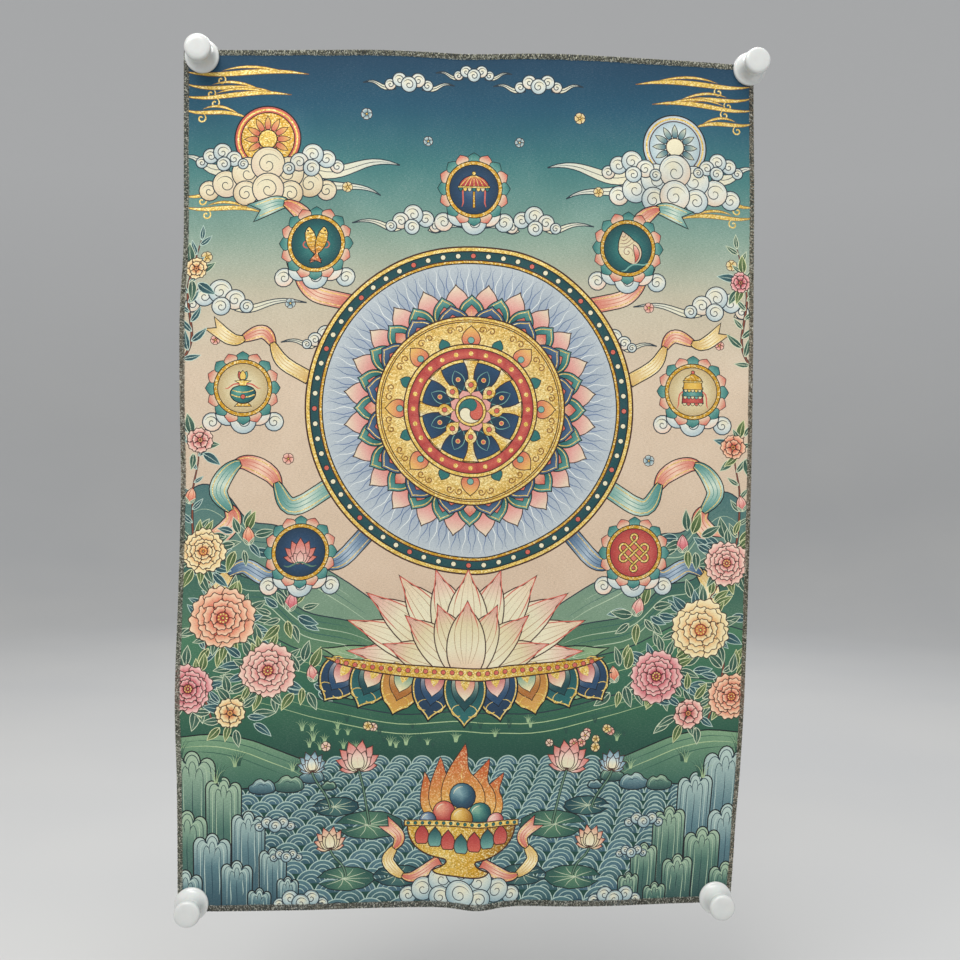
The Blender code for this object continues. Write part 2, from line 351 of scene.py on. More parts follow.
class Art:
    """Shapes in painter's order, with the edges that outline them."""

    def __init__(self, width, height):
        self.w, self.h = width, height
        self.polys, self.paints, self.gild, self.raised = [], [], [], []
        self.edge_a, self.edge_b, self.edge_owner = [], [], []
        self.seeds, self.look, self.looks = [], [], {}

    def _add(self, poly, colour, gold, raised):
        self.polys.append(poly)
        self.paints.append(colour)
        self.gild.append(gold)
        self.raised.append(raised)
        # shapes that look the same need no edge between them
        key = tuple(colour.c) + (gold, raised) if colour.kind == "flat" else id(colour)
        self.look.append(self.looks.setdefault(key, len(self.looks)))
        return len(self.polys) - 1

    def fill(self, pts, colour, gold=0.0, raised=0.0, tol=0.2, seed=None):
        p = thin_ring(np.asarray(pts, float), tol)
        if len(p) < 3:
            return
        k = self._add(p, paint(colour), gold, raised)
        self.edge_a.append(p)
        self.edge_b.append(np.roll(p, -1, 0))
        self.edge_owner.append(np.full(len(p), k))
        if seed:
            lo, hi = p.min(0), p.max(0)
            gx, gy = np.meshgrid(np.arange(lo[0], hi[0], seed), np.arange(lo[1], hi[1], seed))
            q = np.stack([gx.ravel(), gy.ravel()], 1)
            if len(q):
                self.seeds.append(q[inside(q, p)])

    def line(self, pts, width, colour, closed=False, taper=(1.0, 1.0), gold=0.0,
             raised=0.35, tol=0.215, reach=0.3):
        """A stroke.  taper gives its width at each end, and reach the share of
        its length over which it narrows."""
        p = np.asarray(pts, float)
        p = thin_ring(p, tol) if closed else thin_out(p, tol)
        n = len(p)
        if n < 2:
            return
        width = width * LINE_WEIGHT
        if closed:
            before, after = np.roll(p, 1, 0), np.roll(p, -1, 0)
        else:
            before = np.vstack([2 * p[0] - p[1], p[:-1]])
            after = np.vstack([p[1:], 2 * p[-1] - p[-2]])
        d1, d2 = unit(p - before), unit(after - p)
        n1 = np.stack([-d1[:, 1], d1[:, 0]], 1)
        nn = unit(np.stack([-(d1 + d2)[:, 1], (d1 + d2)[:, 0]], 1))
        grow = 1.0 / np.clip((nn * n1).sum(1), 0.55, 1.0)
        half = np.full(n, width / 2)
        if not closed:
            s = np.concatenate([[0], np.cumsum(np.hypot(*(np.diff(p, axis=0)).T))])
            s /= max(1e-9, s[-1])
            half *= np.minimum(1, taper[0] + (1 - taper[0]) * s / reach)
            half *= np.minimum(1, taper[1] + (1 - taper[1]) * (1 - s) / reach)
        left = p + nn * (half * grow)[:, None]
        right = p - nn * (half * grow)[:, None]
        if closed:
            left, right = np.vstack([left, left[:1]]), np.vstack([right, right[:1]])
        colour = paint(colour)
        last = len(left) - 1
        for a in range(0, last, 7):
            b = min(last, a + 7)
            poly = np.vstack([left[a:b + 1], right[a:b + 1][::-1]])
            k = self._add(poly, colour, gold, raised)
            ends = []
            if not closed and a == 0:
                ends.append((left[0], right[0]))
            if not closed and b == last:
                ends.append((left[-1], right[-1]))
            ea = [left[a:b], right[a:b]] + [e[0][None] for e in ends]
            eb = [left[a + 1:b + 1], right[a + 1:b + 1]] + [e[1][None] for e in ends]
            ea, eb = np.vstack(ea), np.vstack(eb)
            self.edge_a.append(ea)
            self.edge_b.append(eb)
            self.edge_owner.append(np.full(len(ea), k))

    # -- shapes with an outline ------------------------------------------------
    def shape(self, pts, colour, ink=None, width=0.9, gold=0.0, raised=0.0, seed=None,
              ink_gold=0.0):
        self.fill(pts, colour, gold=gold, raised=raised, seed=seed)
        if ink is not None:
            self.line(pts, width, ink, closed=True, gold=ink_gold)

    def dot(self, T, x, y, r, colour, ink=None, width=0.6, gold=0.0, n=None, raised=0.3):
        rr = r * T.size
        pts = T(arc(x, y, r, n=n or max(7, int(6 + rr * 1.6))))
        self.fill(pts, colour, gold=gold, raised=raised)
        if ink is not None:
            self.line(pts, width, ink, closed=True)

    # -- which shape is on top -------------------------------------------------
    def topmost(self, q):
        """The index of the last shape that covers each point, or -1."""
        cell = 7.0
        nx, ny = int(self.w / cell) + 3, int(self.h / cell) + 3
        cx = np.clip((q[:, 0] / cell).astype(int) + 1, 0, nx - 1)
        cy = np.clip((q[:, 1] / cell).astype(int) + 1, 0, ny - 1)
        code = cy * nx + cx
        order = np.argsort(code, kind="stable")
        starts = np.searchsorted(code[order], np.arange(nx * ny + 1))
        owner = np.full(len(q), -1)
        for k, poly in enumerate(self.polys):
            lo, hi = poly.min(0), poly.max(0)
            x0 = min(max(int(lo[0] / cell) + 1 - (lo[0] < 0), 0), nx - 1)
            x1 = min(max(int(hi[0] / cell) + 1, 0), nx - 1)
            y0 = min(max(int(lo[1] / cell) + 1 - (lo[1] < 0), 0), ny - 1)
            y1 = min(max(int(hi[1] / cell) + 1, 0), ny - 1)
            rows = [order[starts[r * nx + x0]:starts[r * nx + x1 + 1]]
                    for r in range(y0, y1 + 1)]
            idx = np.concatenate(rows) if len(rows) > 1 else rows[0]
            if not len(idx):
                continue
            pts = q[idx]
            near = ((pts[:, 0] >= lo[0]) & (pts[:, 0] <= hi[0])
                    & (pts[:, 1] >= lo[1]) & (pts[:, 1] <= hi[1]))
            idx, pts = idx[near], pts[near]
            if len(idx):
                owner[idx[inside(pts, poly)]] = k
        return owner


def inside(q, poly):
    """Non-zero winding test."""
    out = np.zeros(len(q), bool)
    x0, y0 = poly[:, 0], poly[:, 1]
    x1, y1 = np.roll(x0, -1), np.roll(y0, -1)
    step = max(1, int(2_000_000 / max(1, len(poly))))
    for s in range(0, len(q), step):
        px, py = q[s:s + step, 0:1], q[s:s + step, 1:2]
        side = (x1 - x0) * (py - y0) - (px - x0) * (y1 - y0)
        up = (y0 <= py) & (y1 > py) & (side > 0)
        down = (y0 > py) & (y1 <= py) & (side < 0)
        out[s:s + step] = (up.sum(1) - down.sum(1)) != 0
    return out


LINE_WEIGHT = 1.14
ART = Art(PANEL_WIDTH, PANEL_HEIGHT)
PAGE = Place()

# ---- the thread colours (sRGB) ----------------------------------------------
INK = (16, 22, 30)
INK_SOFT = (34, 50, 66)
BROWN_INK = (66, 32, 26)
NAVY = (26, 54, 84)
DEEP_BLUE = (36, 74, 116)
SKY_BLUE = (58, 108, 132)
TURQUOISE = (112, 172, 168)
TEAL = (34, 112, 116)
TEAL_DARK = (20, 72, 82)
PERIWINKLE = (150, 168, 198)
PERI_LIGHT = (188, 200, 216)
PERI_DARK = (94, 118, 162)
PEACH = (230, 198, 174)
PINK = (226, 158, 158)
PINK_LIGHT = (244, 214, 206)
CORAL = (212, 96, 82)
CRIMSON = (170, 44, 50)
VERMILION = (200, 72, 40)
CREAM = (224, 212, 176)
CREAM_LIGHT = (234, 228, 204)
CREAM_DARK = (196, 172, 126)
GOLD = (216, 162, 44)
GOLD_LIGHT = (242, 206, 104)
GOLD_DARK = (136, 86, 24)
GREEN = (92, 142, 104)
GREEN_LIGHT = (160, 188, 146)
GREEN_DARK = (42, 86, 72)
SAGE = (132, 160, 140)
LEAF_DARK = (44, 84, 76)
LEAF_MID = (92, 132, 112)
LEAF_EDGE = (196, 212, 190)
BARK = (132, 66, 42)
WATER = (84, 126, 140)
WATER_DARK = (48, 86, 106)
WATER_LIGHT = (170, 200, 200)


# =============================================================================
# Motifs
# =============================================================================
def stretch(T, sx, sy):
    return Place(m=T.m @ np.diag([sx, sy]), t=T.t)


def band(path, width, profile=None):
    """A closed strip of varying width along a path."""
    p = np.asarray(path, float)
    s = np.concatenate([[0], np.cumsum(np.hypot(*(np.diff(p, axis=0)).T))])
    s /= s[-1]
    w = width / 2 * (np.ones(len(p)) if profile is None else profile(s))
    d = unit(np.gradient(p, axis=0))
    n = np.stack([-d[:, 1], d[:, 0]], 1)
    return np.vstack([p + n * w[:, None], (p - n * w[:, None])[::-1]])


LEAFY = ((34, 72, 66), (76, 118, 100), (206, 220, 198))
LEAFY_BLUE = ((24, 62, 76), (62, 110, 120), (186, 214, 212))
LEAFY_WARM = ((54, 82, 48), (112, 138, 80), (222, 226, 180))


def leaf(T, length, bend=0.12, wide=0.34, palette=LEAFY, veins=2, ink=None):
    dark, mid, edge = palette
    t = np.linspace(0, 1, 11)
    spine = np.stack([t * length, bend * length * t * t], 1)
    n = unit(np.stack([-2 * bend * t, np.ones_like(t)], 1))
    w = wide * length * 0.5 * np.sin(np.pi * t ** 0.78) ** 0.9
    path = np.vstack([spine + n * w[:, None], (spine - n * w[:, None])[1:-1][::-1]])
    ART.shape(T(path), T.fade((0, 0), (length, bend * length), dark, mid), edge, 0.62)
    ART.line(T(spine[:-1]), 0.6, edge, taper=(1.2, 0.4))
    for k in range(veins):
        s = 0.26 + 0.5 * k / max(1, veins)
        i = s * 10
        base = np.array([s * length, bend * length * s * s])
        for side in (-1, 1):
            tip = base + np.array([0.13 * length, side * wide * length * 0.27])
            ART.line(T(np.stack([base, tip])), 0.4, mid, taper=(1, 0.3))


def sprig(T, path, leaves, length, palette=LEAFY, stem=BARK, width=1.6, spread=48,
          seed=0, end_leaf=True, veins=1):
    """A stem with leaves on alternate sides."""
    rnd = random.Random(seed)
    p = np.asarray(path, float)
    ART.line(T(p), width, INK_SOFT, taper=(1, 0.35))
    ART.line(T(p), width * 0.55, stem, taper=(1, 0.3))
    s = np.concatenate([[0], np.cumsum(np.hypot(*(np.diff(p, axis=0)).T))])
    for k in range(leaves):
        at = s[-1] * (0.12 + 0.84 * k / max(1, leaves - 1))
        x, y = np.interp(at, s, p[:, 0]), np.interp(at, s, p[:, 1])
        ahead = np.array([np.interp(at + 1, s, p[:, 0]), np.interp(at + 1, s, p[:, 1])])
        behind = np.array([np.interp(at - 1, s, p[:, 0]), np.interp(at - 1, s, p[:, 1])])
        d = ahead - behind
        turn = math.degrees(math.atan2(d[1], d[0]))
        side = 1 if k % 2 else -1
        size = length * (0.78 + 0.4 * rnd.random()) * (1.0 - 0.3 * k / max(1, leaves))
        leaf(T.at(x, y, turn + side * (spread + 16 * (rnd.random() - 0.5))), size,
             bend=-side * (0.10 + 0.12 * rnd.random()), palette=palette, veins=veins)
    if end_leaf:
        d = p[-1] - p[-2]
        leaf(T.at(*p[-1], math.degrees(math.atan2(d[1], d[0]))), length * 0.8,
             palette=palette, veins=veins)


def foliage(T, spots, size, palettes, seed=0):
    """Clumps of leaves that open outward.  spots: (x, y, reach, leaves)."""
    rnd = random.Random(seed)
    for x, y, reach, count in spots:
        for k in range(count):
            ring = 1.0 - 0.62 * k / count
            a = k * 137.5 + rnd.uniform(-14, 14)
            c, s_ = math.cos(math.radians(a)), math.sin(math.radians(a))
            leaf(T.at(x + reach * ring * 0.72 * c, y + reach * ring * 0.72 * s_, a + rnd.uniform(-16, 16)),
                 size * rnd.uniform(0.82, 1.18), bend=rnd.choice((-1, 1)) * rnd.uniform(0.06, 0.2),
                 wide=rnd.uniform(0.36, 0.46), palette=palettes[k % len(palettes)], veins=1)


PEONY_PINK = ((250, 226, 216), (236, 172, 168), (206, 84, 92), (150, 34, 50))
PEONY_CORAL = ((250, 222, 196), (238, 160, 130), (214, 82, 62), (160, 36, 34))
PEONY_CREAM = ((250, 240, 206), (244, 214, 158), (230, 148, 88), (190, 70, 40))
PEONY_ROSE = ((248, 214, 214), (226, 134, 146), (190, 60, 84), (128, 24, 48))


def petal(T, a, r0, r1, half, cols, ink, wave=0.05, phase=0.0, veins=3, width=0.7):
    edge, mid, deep, core = cols
    t = np.linspace(-1, 1, 17)
    r = r1 * (1 - 0.09 * t ** 2 - 0.16 * t ** 6) + wave * r1 * np.cos(3.2 * math.pi * t + phase)
    ang = np.radians(a + half * t)
    rim = np.stack([r * np.cos(ang), r * np.sin(ang)], 1)
    side = np.radians([a - half * 0.45, a - half * 0.86, a + half * 0.86, a + half * 0.45])
    rs = np.array([r0, 0.55 * (r0 + r1), 0.55 * (r0 + r1), r0])
    s = np.stack([rs * np.cos(side), rs * np.sin(side)], 1)
    path = np.vstack([s[:2], rim, s[2:]])
    ART.shape(T(path), T.glow((0, 0), r0 * 0.8, r1, (0, core), (0.3, deep), (0.66, mid), (1, edge)),
              ink, width, raised=0.15)
    for k in range(veins):
        f = 0.0 if veins == 1 else (2 * k / (veins - 1) - 1) * 0.5
        th = math.radians(a + half * f)
        v = P((math.cos(th), math.sin(th)))
        m = 0.5 * (r0 + r1)
        ART.line(T(np.vstack([v * (r0 + 0.12 * (r1 - r0)), v * m,
                              v * (r0 + 0.76 * (r1 - r0))])), 0.55, deep, taper=(1.2, 0.25))


def peony(T, r, cols=PEONY_PINK, seed=0, ink=BROWN_INK, rich=True):
    rnd = random.Random(seed)
    T = T.at(size=r)
    rings = ((8, 31, 0.46, 1.0), (7, 33, 0.36, 0.79), (6, 37, 0.24, 0.58), (5, 44, 0.12, 0.39))
    if not rich:
        rings = ((6, 38, 0.34, 1.0), (5, 42, 0.16, 0.66))
    for k, (n, half, r0, r1) in enumerate(rings):
        first = rnd.random() * 360
        for j in range(n):
            a = first + 360 * j / n + (rnd.random() - 0.5) * 10
            petal(T, a, r0, r1 * (0.93 + 0.12 * rnd.random()), half, cols, ink,
                  wave=0.045, phase=rnd.random() * 3, veins=3 if k < 2 and rich else 1,
                  width=0.75)
    ART.dot(T, 0, 0, 0.2, T.glow((0, 0), 0, 0.2, cols[2], cols[3]), ink)
    for j in range(9):
        a = TAU * j / 9
        ART.dot(T, 0.13 * math.cos(a), 0.13 * math.sin(a), 0.034, GOLD_LIGHT, gold=1, n=6)
    ART.dot(T, 0, 0, 0.05, GOLD_LIGHT, ink, gold=1, n=7)


def bud(T, r, cols=PEONY_PINK):
    """A closed flower, pointing along local -y."""
    T = T.at(size=r)
    body = join(bez((0, 0.9), (0.85, 0.75), (0.8, -0.3), (0.0, -1.0), 10))
    ART.shape(T(both(body)), T.fade((0, 0.9), (0, -1.0), cols[2], cols[1], cols[0]), BROWN_INK, 0.7)
    ART.line(T(bez((0, 0.8), (-0.5, 0.2), (-0.25, -0.5), (0.02, -0.9), 8)), 0.5, cols[3])
    ART.line(T(bez((0, 0.8), (0.5, 0.3), (0.3, -0.4), (0.02, -0.9), 8)), 0.5, cols[2])
    for side in (-1, 1):
        leaf(T.at(0, 0.95, -90 + side * 48), 0.95, bend=-side * 0.2, veins=0)


def cloud(T, lobes, cols=(CREAM_LIGHT, (224, 230, 232), (172, 196, 214)), ink=INK_SOFT,
          blush=None, width=1.0, turns=1.35):
    for k, (x, y, r, spin) in enumerate(lobes):
        c = T.at(x, y)
        edge = arc(0, 0, r, n=max(14, int(r * 1.8)))
        stops = cols if blush is None or k % 3 else (cols[0], cols[1], blush)
        ART.shape(c(edge), c.glow((-0.2 * r * spin, -0.35 * r), 0, 1.35 * r, *stops), ink, width,
                  seed=max(3.0, r * 0.5))
        a0 = 200 if spin > 0 else -20
        ART.line(c(spiral(0, 0.04 * r, 0.74 * r, 0.12 * r, a0, spin * turns,
                          n=max(16, int(r * 2)))), 0.8, ink, taper=(0.25, 0.8))
        ART.line(c(arc(0, 0, 0.87 * r, a0=195 if spin > 0 else 250,
                       a1=290 if spin > 0 else 345)), 0.55, cols[2], taper=(0.3, 0.3))


def tail(T, path, width, cols=(CREAM_LIGHT, (214, 224, 226)), ink=INK_SOFT):
    """The drawn-out end of a cloud."""
    body = band(path, width, lambda s: np.maximum(0.04, (1 - s) ** 0.75))
    a, b = path[0], path[-1]
    ART.shape(T(body), T.fade(a, b, *cols), ink, 0.9)
    ART.line(T(path), 0.6, ink, taper=(1, 0.2))


BIG_CLOUD = ((-52, 8, 9, 1), (52, 8, 9, -1), (-37, 2, 12, 1), (37, 2, 12, -1),
             (-18, -8, 14, 1), (18, -8, 14, -1), (0, -16, 15, 1), (-20, 10, 11, -1),
             (20, 10, 11, 1), (0, 6, 14, -1))
SMALL_CLOUD = ((-26, 4, 8, 1), (26, 4, 8, -1), (-13, -3, 10, 1), (13, -3, 10, -1),
               (0, 3, 11, 1))
SIDE_CLOUD = ((-30, 6, 9, 1), (-16, -4, 12, 1), (2, -10, 14, -1), (20, 0, 12, -1),
              (4, 8, 11, 1), (34, 8, 8, -1))


def ogee(w, h, belly=0.62, sharp=0.16):
    """Half of a pointed petal: from its foot on the axis up to its tip at -h."""
    return join(P((0, 0), (0.3 * w, 0)),
                bez((0.3 * w, 0), (belly * w, -0.16 * h), (0.55 * w, -0.66 * h),
                    (sharp * w, -0.86 * h), 10),
                bez((sharp * w, -0.86 * h), (0.08 * w, -0.92 * h), (0.02 * w, -0.96 * h),
                    (0, -h), 4))


def throne_petal(T, w, h, cols, rim=GOLD_LIGHT, ink=INK):
    """One petal of a lotus seat: nested, each colour inside the last."""
    outer, second, third, core = cols
    ART.shape(T(both(ogee(w, h))), T.fade((0, 0), (0, -h), second, outer), ink, 1.3)
    ART.line(T(both(ogee(w * 0.93, h * 0.955))), 1.2, rim, closed=True, gold=1.0)
    ART.fill(T.at(0, -0.02 * h)(both(ogee(w * 0.80, h * 0.86))),
             T.fade((0, 0), (0, -h), second, outer), raised=0.1)
    ART.shape(T.at(0, -0.03 * h)(both(ogee(w * 0.64, h * 0.68))),
              T.fade((0, 0), (0, -0.7 * h), (0, third), (0.7, second), (1, second)), ink, 0.7)
    ART.shape(T.at(0, -0.04 * h)(both(ogee(w * 0.46, h * 0.50))),
              T.fade((0, 0), (0, -0.5 * h), core, third), ink, 0.6)
    ART.fill(T.at(0, -0.05 * h)(both(ogee(w * 0.22, h * 0.30))), rim, gold=1.0)
    for side in (-1, 1):
        q = T.at(flip=side < 0)
        ART.line(q(bez((0.12 * w, -0.60 * h), (0.36 * w, -0.62 * h), (0.36 * w, -0.84 * h),
                       (0.10 * w, -0.80 * h), 9)), 0.8, rim, gold=1.0, taper=(0.5, 1))


def scarf(T, path, width, front, back, cuts=(0.34, 0.56, 0.80), hem=GOLD_LIGHT, ink=INK):
    """A silk ribbon that turns over where it narrows, and ends in a split tail."""
    p = np.asarray(path, float)
    s = np.concatenate([[0], np.cumsum(np.hypot(*(np.diff(p, axis=0)).T))])
    s /= s[-1]
    stops = [0.0, *cuts, 1.0]
    order = list(range(len(stops) - 1))
    for k in order[1::2] + order[0::2]:
        a, b = max(0.0, stops[k] - 0.015), min(1.0, stops[k + 1] + 0.015)
        t = np.linspace(a, b, 18)
        seg = np.stack([np.interp(t, s, p[:, 0]), np.interp(t, s, p[:, 1])], 1)
        q = np.linspace(0, 1, len(seg))
        w = 0.34 + 0.66 * np.sin(np.pi * q) ** 0.7
        if k == 0:
            w = np.where(q < 0.5, 1.0, w)
        if k == order[-1]:
            w = np.where(q > 0.5, 1.0 + 0.25 * (q - 0.5), w)
        half = width / 2 * w
        d = unit(np.gradient(seg, axis=0))
        n = np.stack([-d[:, 1], d[:, 0]], 1)
        left, right = seg + n * half[:, None], seg - n * half[:, None]
        mid = seg
        if k == order[-1]:
            notch = seg[-1] - d[-1] * width * 0.62
            outline = np.vstack([left, notch[None], right[::-1]])
            mid = seg[:-3]
        else:
            outline = np.vstack([left, right[::-1]])
        cols = front if k % 2 == 0 else back
        ART.shape(T(outline), T.fade(seg[0], seg[-1], cols[1], cols[0], cols[1]), ink, 1.0)
        m = len(mid)
        for off in (-0.66, 0.66):
            ART.line(T(mid + n[:m] * (off * half[:m])[:, None]), 0.85, hem, gold=1.0, taper=(0.6, 0.6))
        for off in (-0.25, 0.2):
            ART.line(T((mid + n[:m] * (off * half[:m])[:, None])[2:-2]), 0.6, cols[1], taper=(0.2, 0.2))


def jewel(T, r, cols, ink=INK):
    T = T.at(size=r)
    ART.shape(T(arc(0, 0, 1, n=16)), T.glow((-0.3, -0.3), 0, 1.25, *cols), ink, 0.8, seed=max(2.0, r * 0.5))
    ART.line(T(arc(0, 0, 0.72, a0=190, a1=270)), 0.7, CREAM_LIGHT, taper=(0.3, 0.3))


def flame(T, h, cols=((244, 206, 96), VERMILION), ink=BROWN_INK, gold=0.6):
    """A tongue of flame pointing along -y."""
    right = join(bez((0, 0), (0.42 * h, -0.05 * h), (0.34 * h, -0.45 * h), (0.10 * h, -0.62 * h), 8),
                 bez((0.10 * h, -0.62 * h), (0.02 * h, -0.72 * h), (0.08 * h, -0.86 * h), (0.02 * h, -h), 6))
    left = join(bez((0.02 * h, -h), (-0.10 * h, -0.80 * h), (-0.30 * h, -0.55 * h), (-0.28 * h, -0.3 * h), 8),
                bez((-0.28 * h, -0.3 * h), (-0.26 * h, -0.1 * h), (-0.12 * h, 0), (0, 0), 6))
    ART.shape(T(join(right, left)), T.fade((0, 0), (0, -h), *cols), ink, 0.8, gold=gold)
    ART.line(T(bez((0, -0.1 * h), (0.16 * h, -0.3 * h), (-0.1 * h, -0.45 * h), (0.0, -0.7 * h), 8)),
             0.8, GOLD_LIGHT, gold=1.0, taper=(0.6, 0.2))


def beads(path, r, gap, colour=GOLD_LIGHT, ink=INK, gold=1.0):
    """A string of beads, in design places."""
    p = np.asarray(path, float)
    s = np.concatenate([[0], np.cumsum(np.hypot(*(np.diff(p, axis=0)).T))])
    n = max(2, int(s[-1] / gap))
    for k in range(n + 1):
        at = s[-1] * k / n
        ART.dot(PAGE, np.interp(at, s, p[:, 0]), np.interp(at, s, p[:, 1]), r, colour, ink, 0.5,
                gold=gold, n=7)


# ---- the auspicious signs, each drawn in a unit disc --------------------------
def sign_parasol(T):
    for side in (-1, 1):
        ART.line(T.at(flip=side < 0)(bez((0.5, -0.12), (0.66, 0.3), (0.42, 0.5), (0.6, 0.86), 10)),
                 1.5, CORAL, taper=(1, 0.3))
    ART.shape(T(P((-0.05, -0.1), (0.05, -0.1), (0.06, 0.9), (-0.06, 0.9))), GOLD, BROWN_INK, 0.6, gold=1)
    dome = join(bez((0.78, -0.1), (0.66, -0.56), (0.3, -0.66), (0.1, -0.7), 10))
    ART.shape(T(both(dome[::-1])), T.fade((0, -0.7), (0, -0.1), CORAL, CRIMSON), INK, 0.8)
    for k in range(-3, 4):
        ART.line(T(bez((k * 0.03, -0.68), (k * 0.12, -0.55), (k * 0.2, -0.35), (k * 0.235, -0.12), 6)),
                 0.6, GOLD_LIGHT, gold=1)
    for k in range(7):
        x = -0.66 + k * 0.22
        ART.shape(T(arc(x, -0.1, 0.11, 0.2, 0, 180, n=7)), (TEAL, GOLD_LIGHT, CREAM)[k % 3], INK, 0.6)
    ART.shape(T(P((-0.8, -0.16), (0.8, -0.16), (0.8, -0.08), (-0.8, -0.08))), GOLD_LIGHT, INK, 0.5, gold=1)
    ART.dot(T, 0, -0.8, 0.1, GOLD_LIGHT, INK, gold=1)


def sign_fish(T):
    for side in (-1, 1):
        q = T.at(side * 0.16, 0, 0, 1, flip=side < 0).at(0, 0, 14)
        body = join(bez((0.0, -0.86), (0.42, -0.7), (0.42, 0.1), (0.06, 0.5), 12),
                    bez((0.06, 0.5), (0.2, 0.7), (0.3, 0.78), (0.36, 0.9), 5),
                    bez((0.36, 0.9), (0.1, 0.84), (-0.1, 0.84), (-0.26, 0.92), 5),
                    bez((-0.26, 0.92), (-0.2, 0.74), (-0.1, 0.66), (-0.06, 0.5), 5),
                    bez((-0.06, 0.5), (-0.3, 0.1), (-0.26, -0.6), (0.0, -0.86), 12))
        ART.shape(q(body), q.fade((0, -0.8), (0, 0.9), GOLD_LIGHT, GOLD, CORAL), INK, 0.8, gold=0.9)
        for j in range(4):
            y = -0.4 + j * 0.22
            ART.line(q(arc(0.06, y, 0.24 - 0.03 * j, 0.1, 10, 170, n=7)), 0.5, GOLD_DARK)
        ART.line(q(arc(0.04, -0.62, 0.26, 0.12, 0, 170, n=7)), 0.6, BROWN_INK)
        ART.dot(q, 0.1, -0.68, 0.05, INK)
        ART.line(q(bez((0.34, -0.2), (0.56, -0.1), (0.5, 0.1), (0.3, 0.16), 6)), 1.1, CORAL, taper=(1, 0.4))


def sign_vase(T):
    ART.shape(T(both(join(P((0, 0.9), (0.42, 0.9)), bez((0.42, 0.9), (0.34, 0.8), (0.3, 0.76), (0.2, 0.7), 4), P((0.2, 0.7), (0, 0.68))))),
              GOLD, INK, 0.7, gold=1)
    body = join(bez((0.12, 0.74), (0.74, 0.6), (0.8, -0.02), (0.2, -0.12), 14), P((0.2, -0.12), (0, -0.14)))
    ART.shape(T(both(np.vstack([P((0, 0.75)), body]))), T.glow((-0.2, 0.15), 0, 0.9, (96, 176, 168), TEAL, TEAL_DARK), INK, 0.9)
    ART.line(T(bez((-0.56, 0.32), (-0.2, 0.5), (0.2, 0.5), (0.56, 0.32), 8)), 1.0, GOLD_LIGHT, gold=1)
    ART.line(T(bez((-0.5, 0.1), (-0.2, 0.24), (0.2, 0.24), (0.5, 0.1), 8)), 0.8, GOLD_LIGHT, gold=1)
    ART.dot(T, 0, 0.42, 0.12, CORAL, INK)
    ART.shape(T(both(join(P((0, -0.12), (0.2, -0.12)), bez((0.2, -0.12), (0.14, -0.2), (0.16, -0.26), (0.4, -0.36), 5), P((0.4, -0.36), (0, -0.4))))),
              GOLD_LIGHT, INK, 0.7, gold=1)
    for a, c in ((-26, CORAL), (26, TURQUOISE), (0, GOLD_LIGHT)):
        q = T.at(0, -0.42, a)
        ART.shape(q(both(ogee(0.3, 0.46))), c, INK, 0.6)
    for side in (-1, 1):
        ART.line(T.at(flip=side < 0)(bez((0.16, -0.2), (0.6, -0.3), (0.6, 0.1), (0.86, 0.0), 9)), 1.3, CORAL, taper=(1, 0.3))


def sign_lotus(T):
    for a, s in ((-78, 0.78), (78, 0.78), (-50, 0.92), (50, 0.92), (-24, 1.0), (24, 1.0), (0, 1.05)):
        q = T.at(0, 0.42, a, s)
        ART.shape(q(both(ogee(0.52, 1.08))), q.fade((0, 0), (0, -1.0), CREAM_LIGHT, PINK, CORAL), BROWN_INK, 0.7)
        ART.line(q(P((0, -0.1), (0, -0.75))), 0.5, CORAL, taper=(1, 0.2))
    for a in (-62, 62, -36, 36, 0):
        q = T.at(0, 0.5, a, 0.62)
        ART.shape(q(both(ogee(0.6, 0.9))), q.fade((0, 0), (0, -0.9), PINK_LIGHT, PINK), BROWN_INK, 0.6)
    for side in (-1, 1):
        ART.line(T.at(flip=side < 0)(bez((0.02, 0.5), (0.3, 0.5), (0.5, 0.86), (0.8, 0.66), 8)), 1.4, LEAF_MID, taper=(1, 0.3))


def sign_conch(T):
    T = T.at(0, 0, -18)
    body = join(bez((0.1, 0.9), (0.75, 0.72), (0.78, 0.0), (0.42, -0.3), 12),
                bez((0.42, -0.3), (0.3, -0.6), (0.12, -0.72), (0.0, -0.9), 6),
                bez((0.0, -0.9), (-0.16, -0.7), (-0.34, -0.56), (-0.42, -0.26), 6),
                bez((-0.42, -0.26), (-0.62, 0.1), (-0.44, 0.5), (0.1, 0.9), 12))
    ART.shape(T(body), T.glow((-0.1, 0.0), 0, 0.95, CREAM_LIGHT, CREAM, (214, 186, 170)), INK, 0.9, seed=3)
    ART.shape(T(join(bez((0.14, 0.78), (0.6, 0.6), (0.6, 0.1), (0.34, -0.1), 10),
                     bez((0.34, -0.1), (0.2, 0.2), (0.3, 0.5), (0.14, 0.78), 8))),
              T.fade((0.5, 0), (0.2, 0.4), PINK_LIGHT, CORAL), BROWN_INK, 0.7)
    for k in range(4):
        y = -0.2 - 0.16 * k
        w = 0.42 - 0.1 * k
        ART.line(T(bez((-w, y), (-w * 0.3, y + 0.14), (w * 0.4, y + 0.12), (w, y - 0.06), 7)), 0.7, (150, 110, 96), taper=(0.5, 0.5))
    ART.line(T(spiral(-0.06, 0.16, 0.32, 0.04, 60, -1.4, 22)), 0.7, (150, 110, 96), taper=(0.4, 1))
    for side, x in ((1, 0.5), (-1, -0.4)):
        ART.line(T(bez((0.0, 0.84), (x, 0.9), (x * 0.8, 1.1), (x * 1.6, 0.98), 8)), 1.3, TURQUOISE, taper=(1, 0.3))


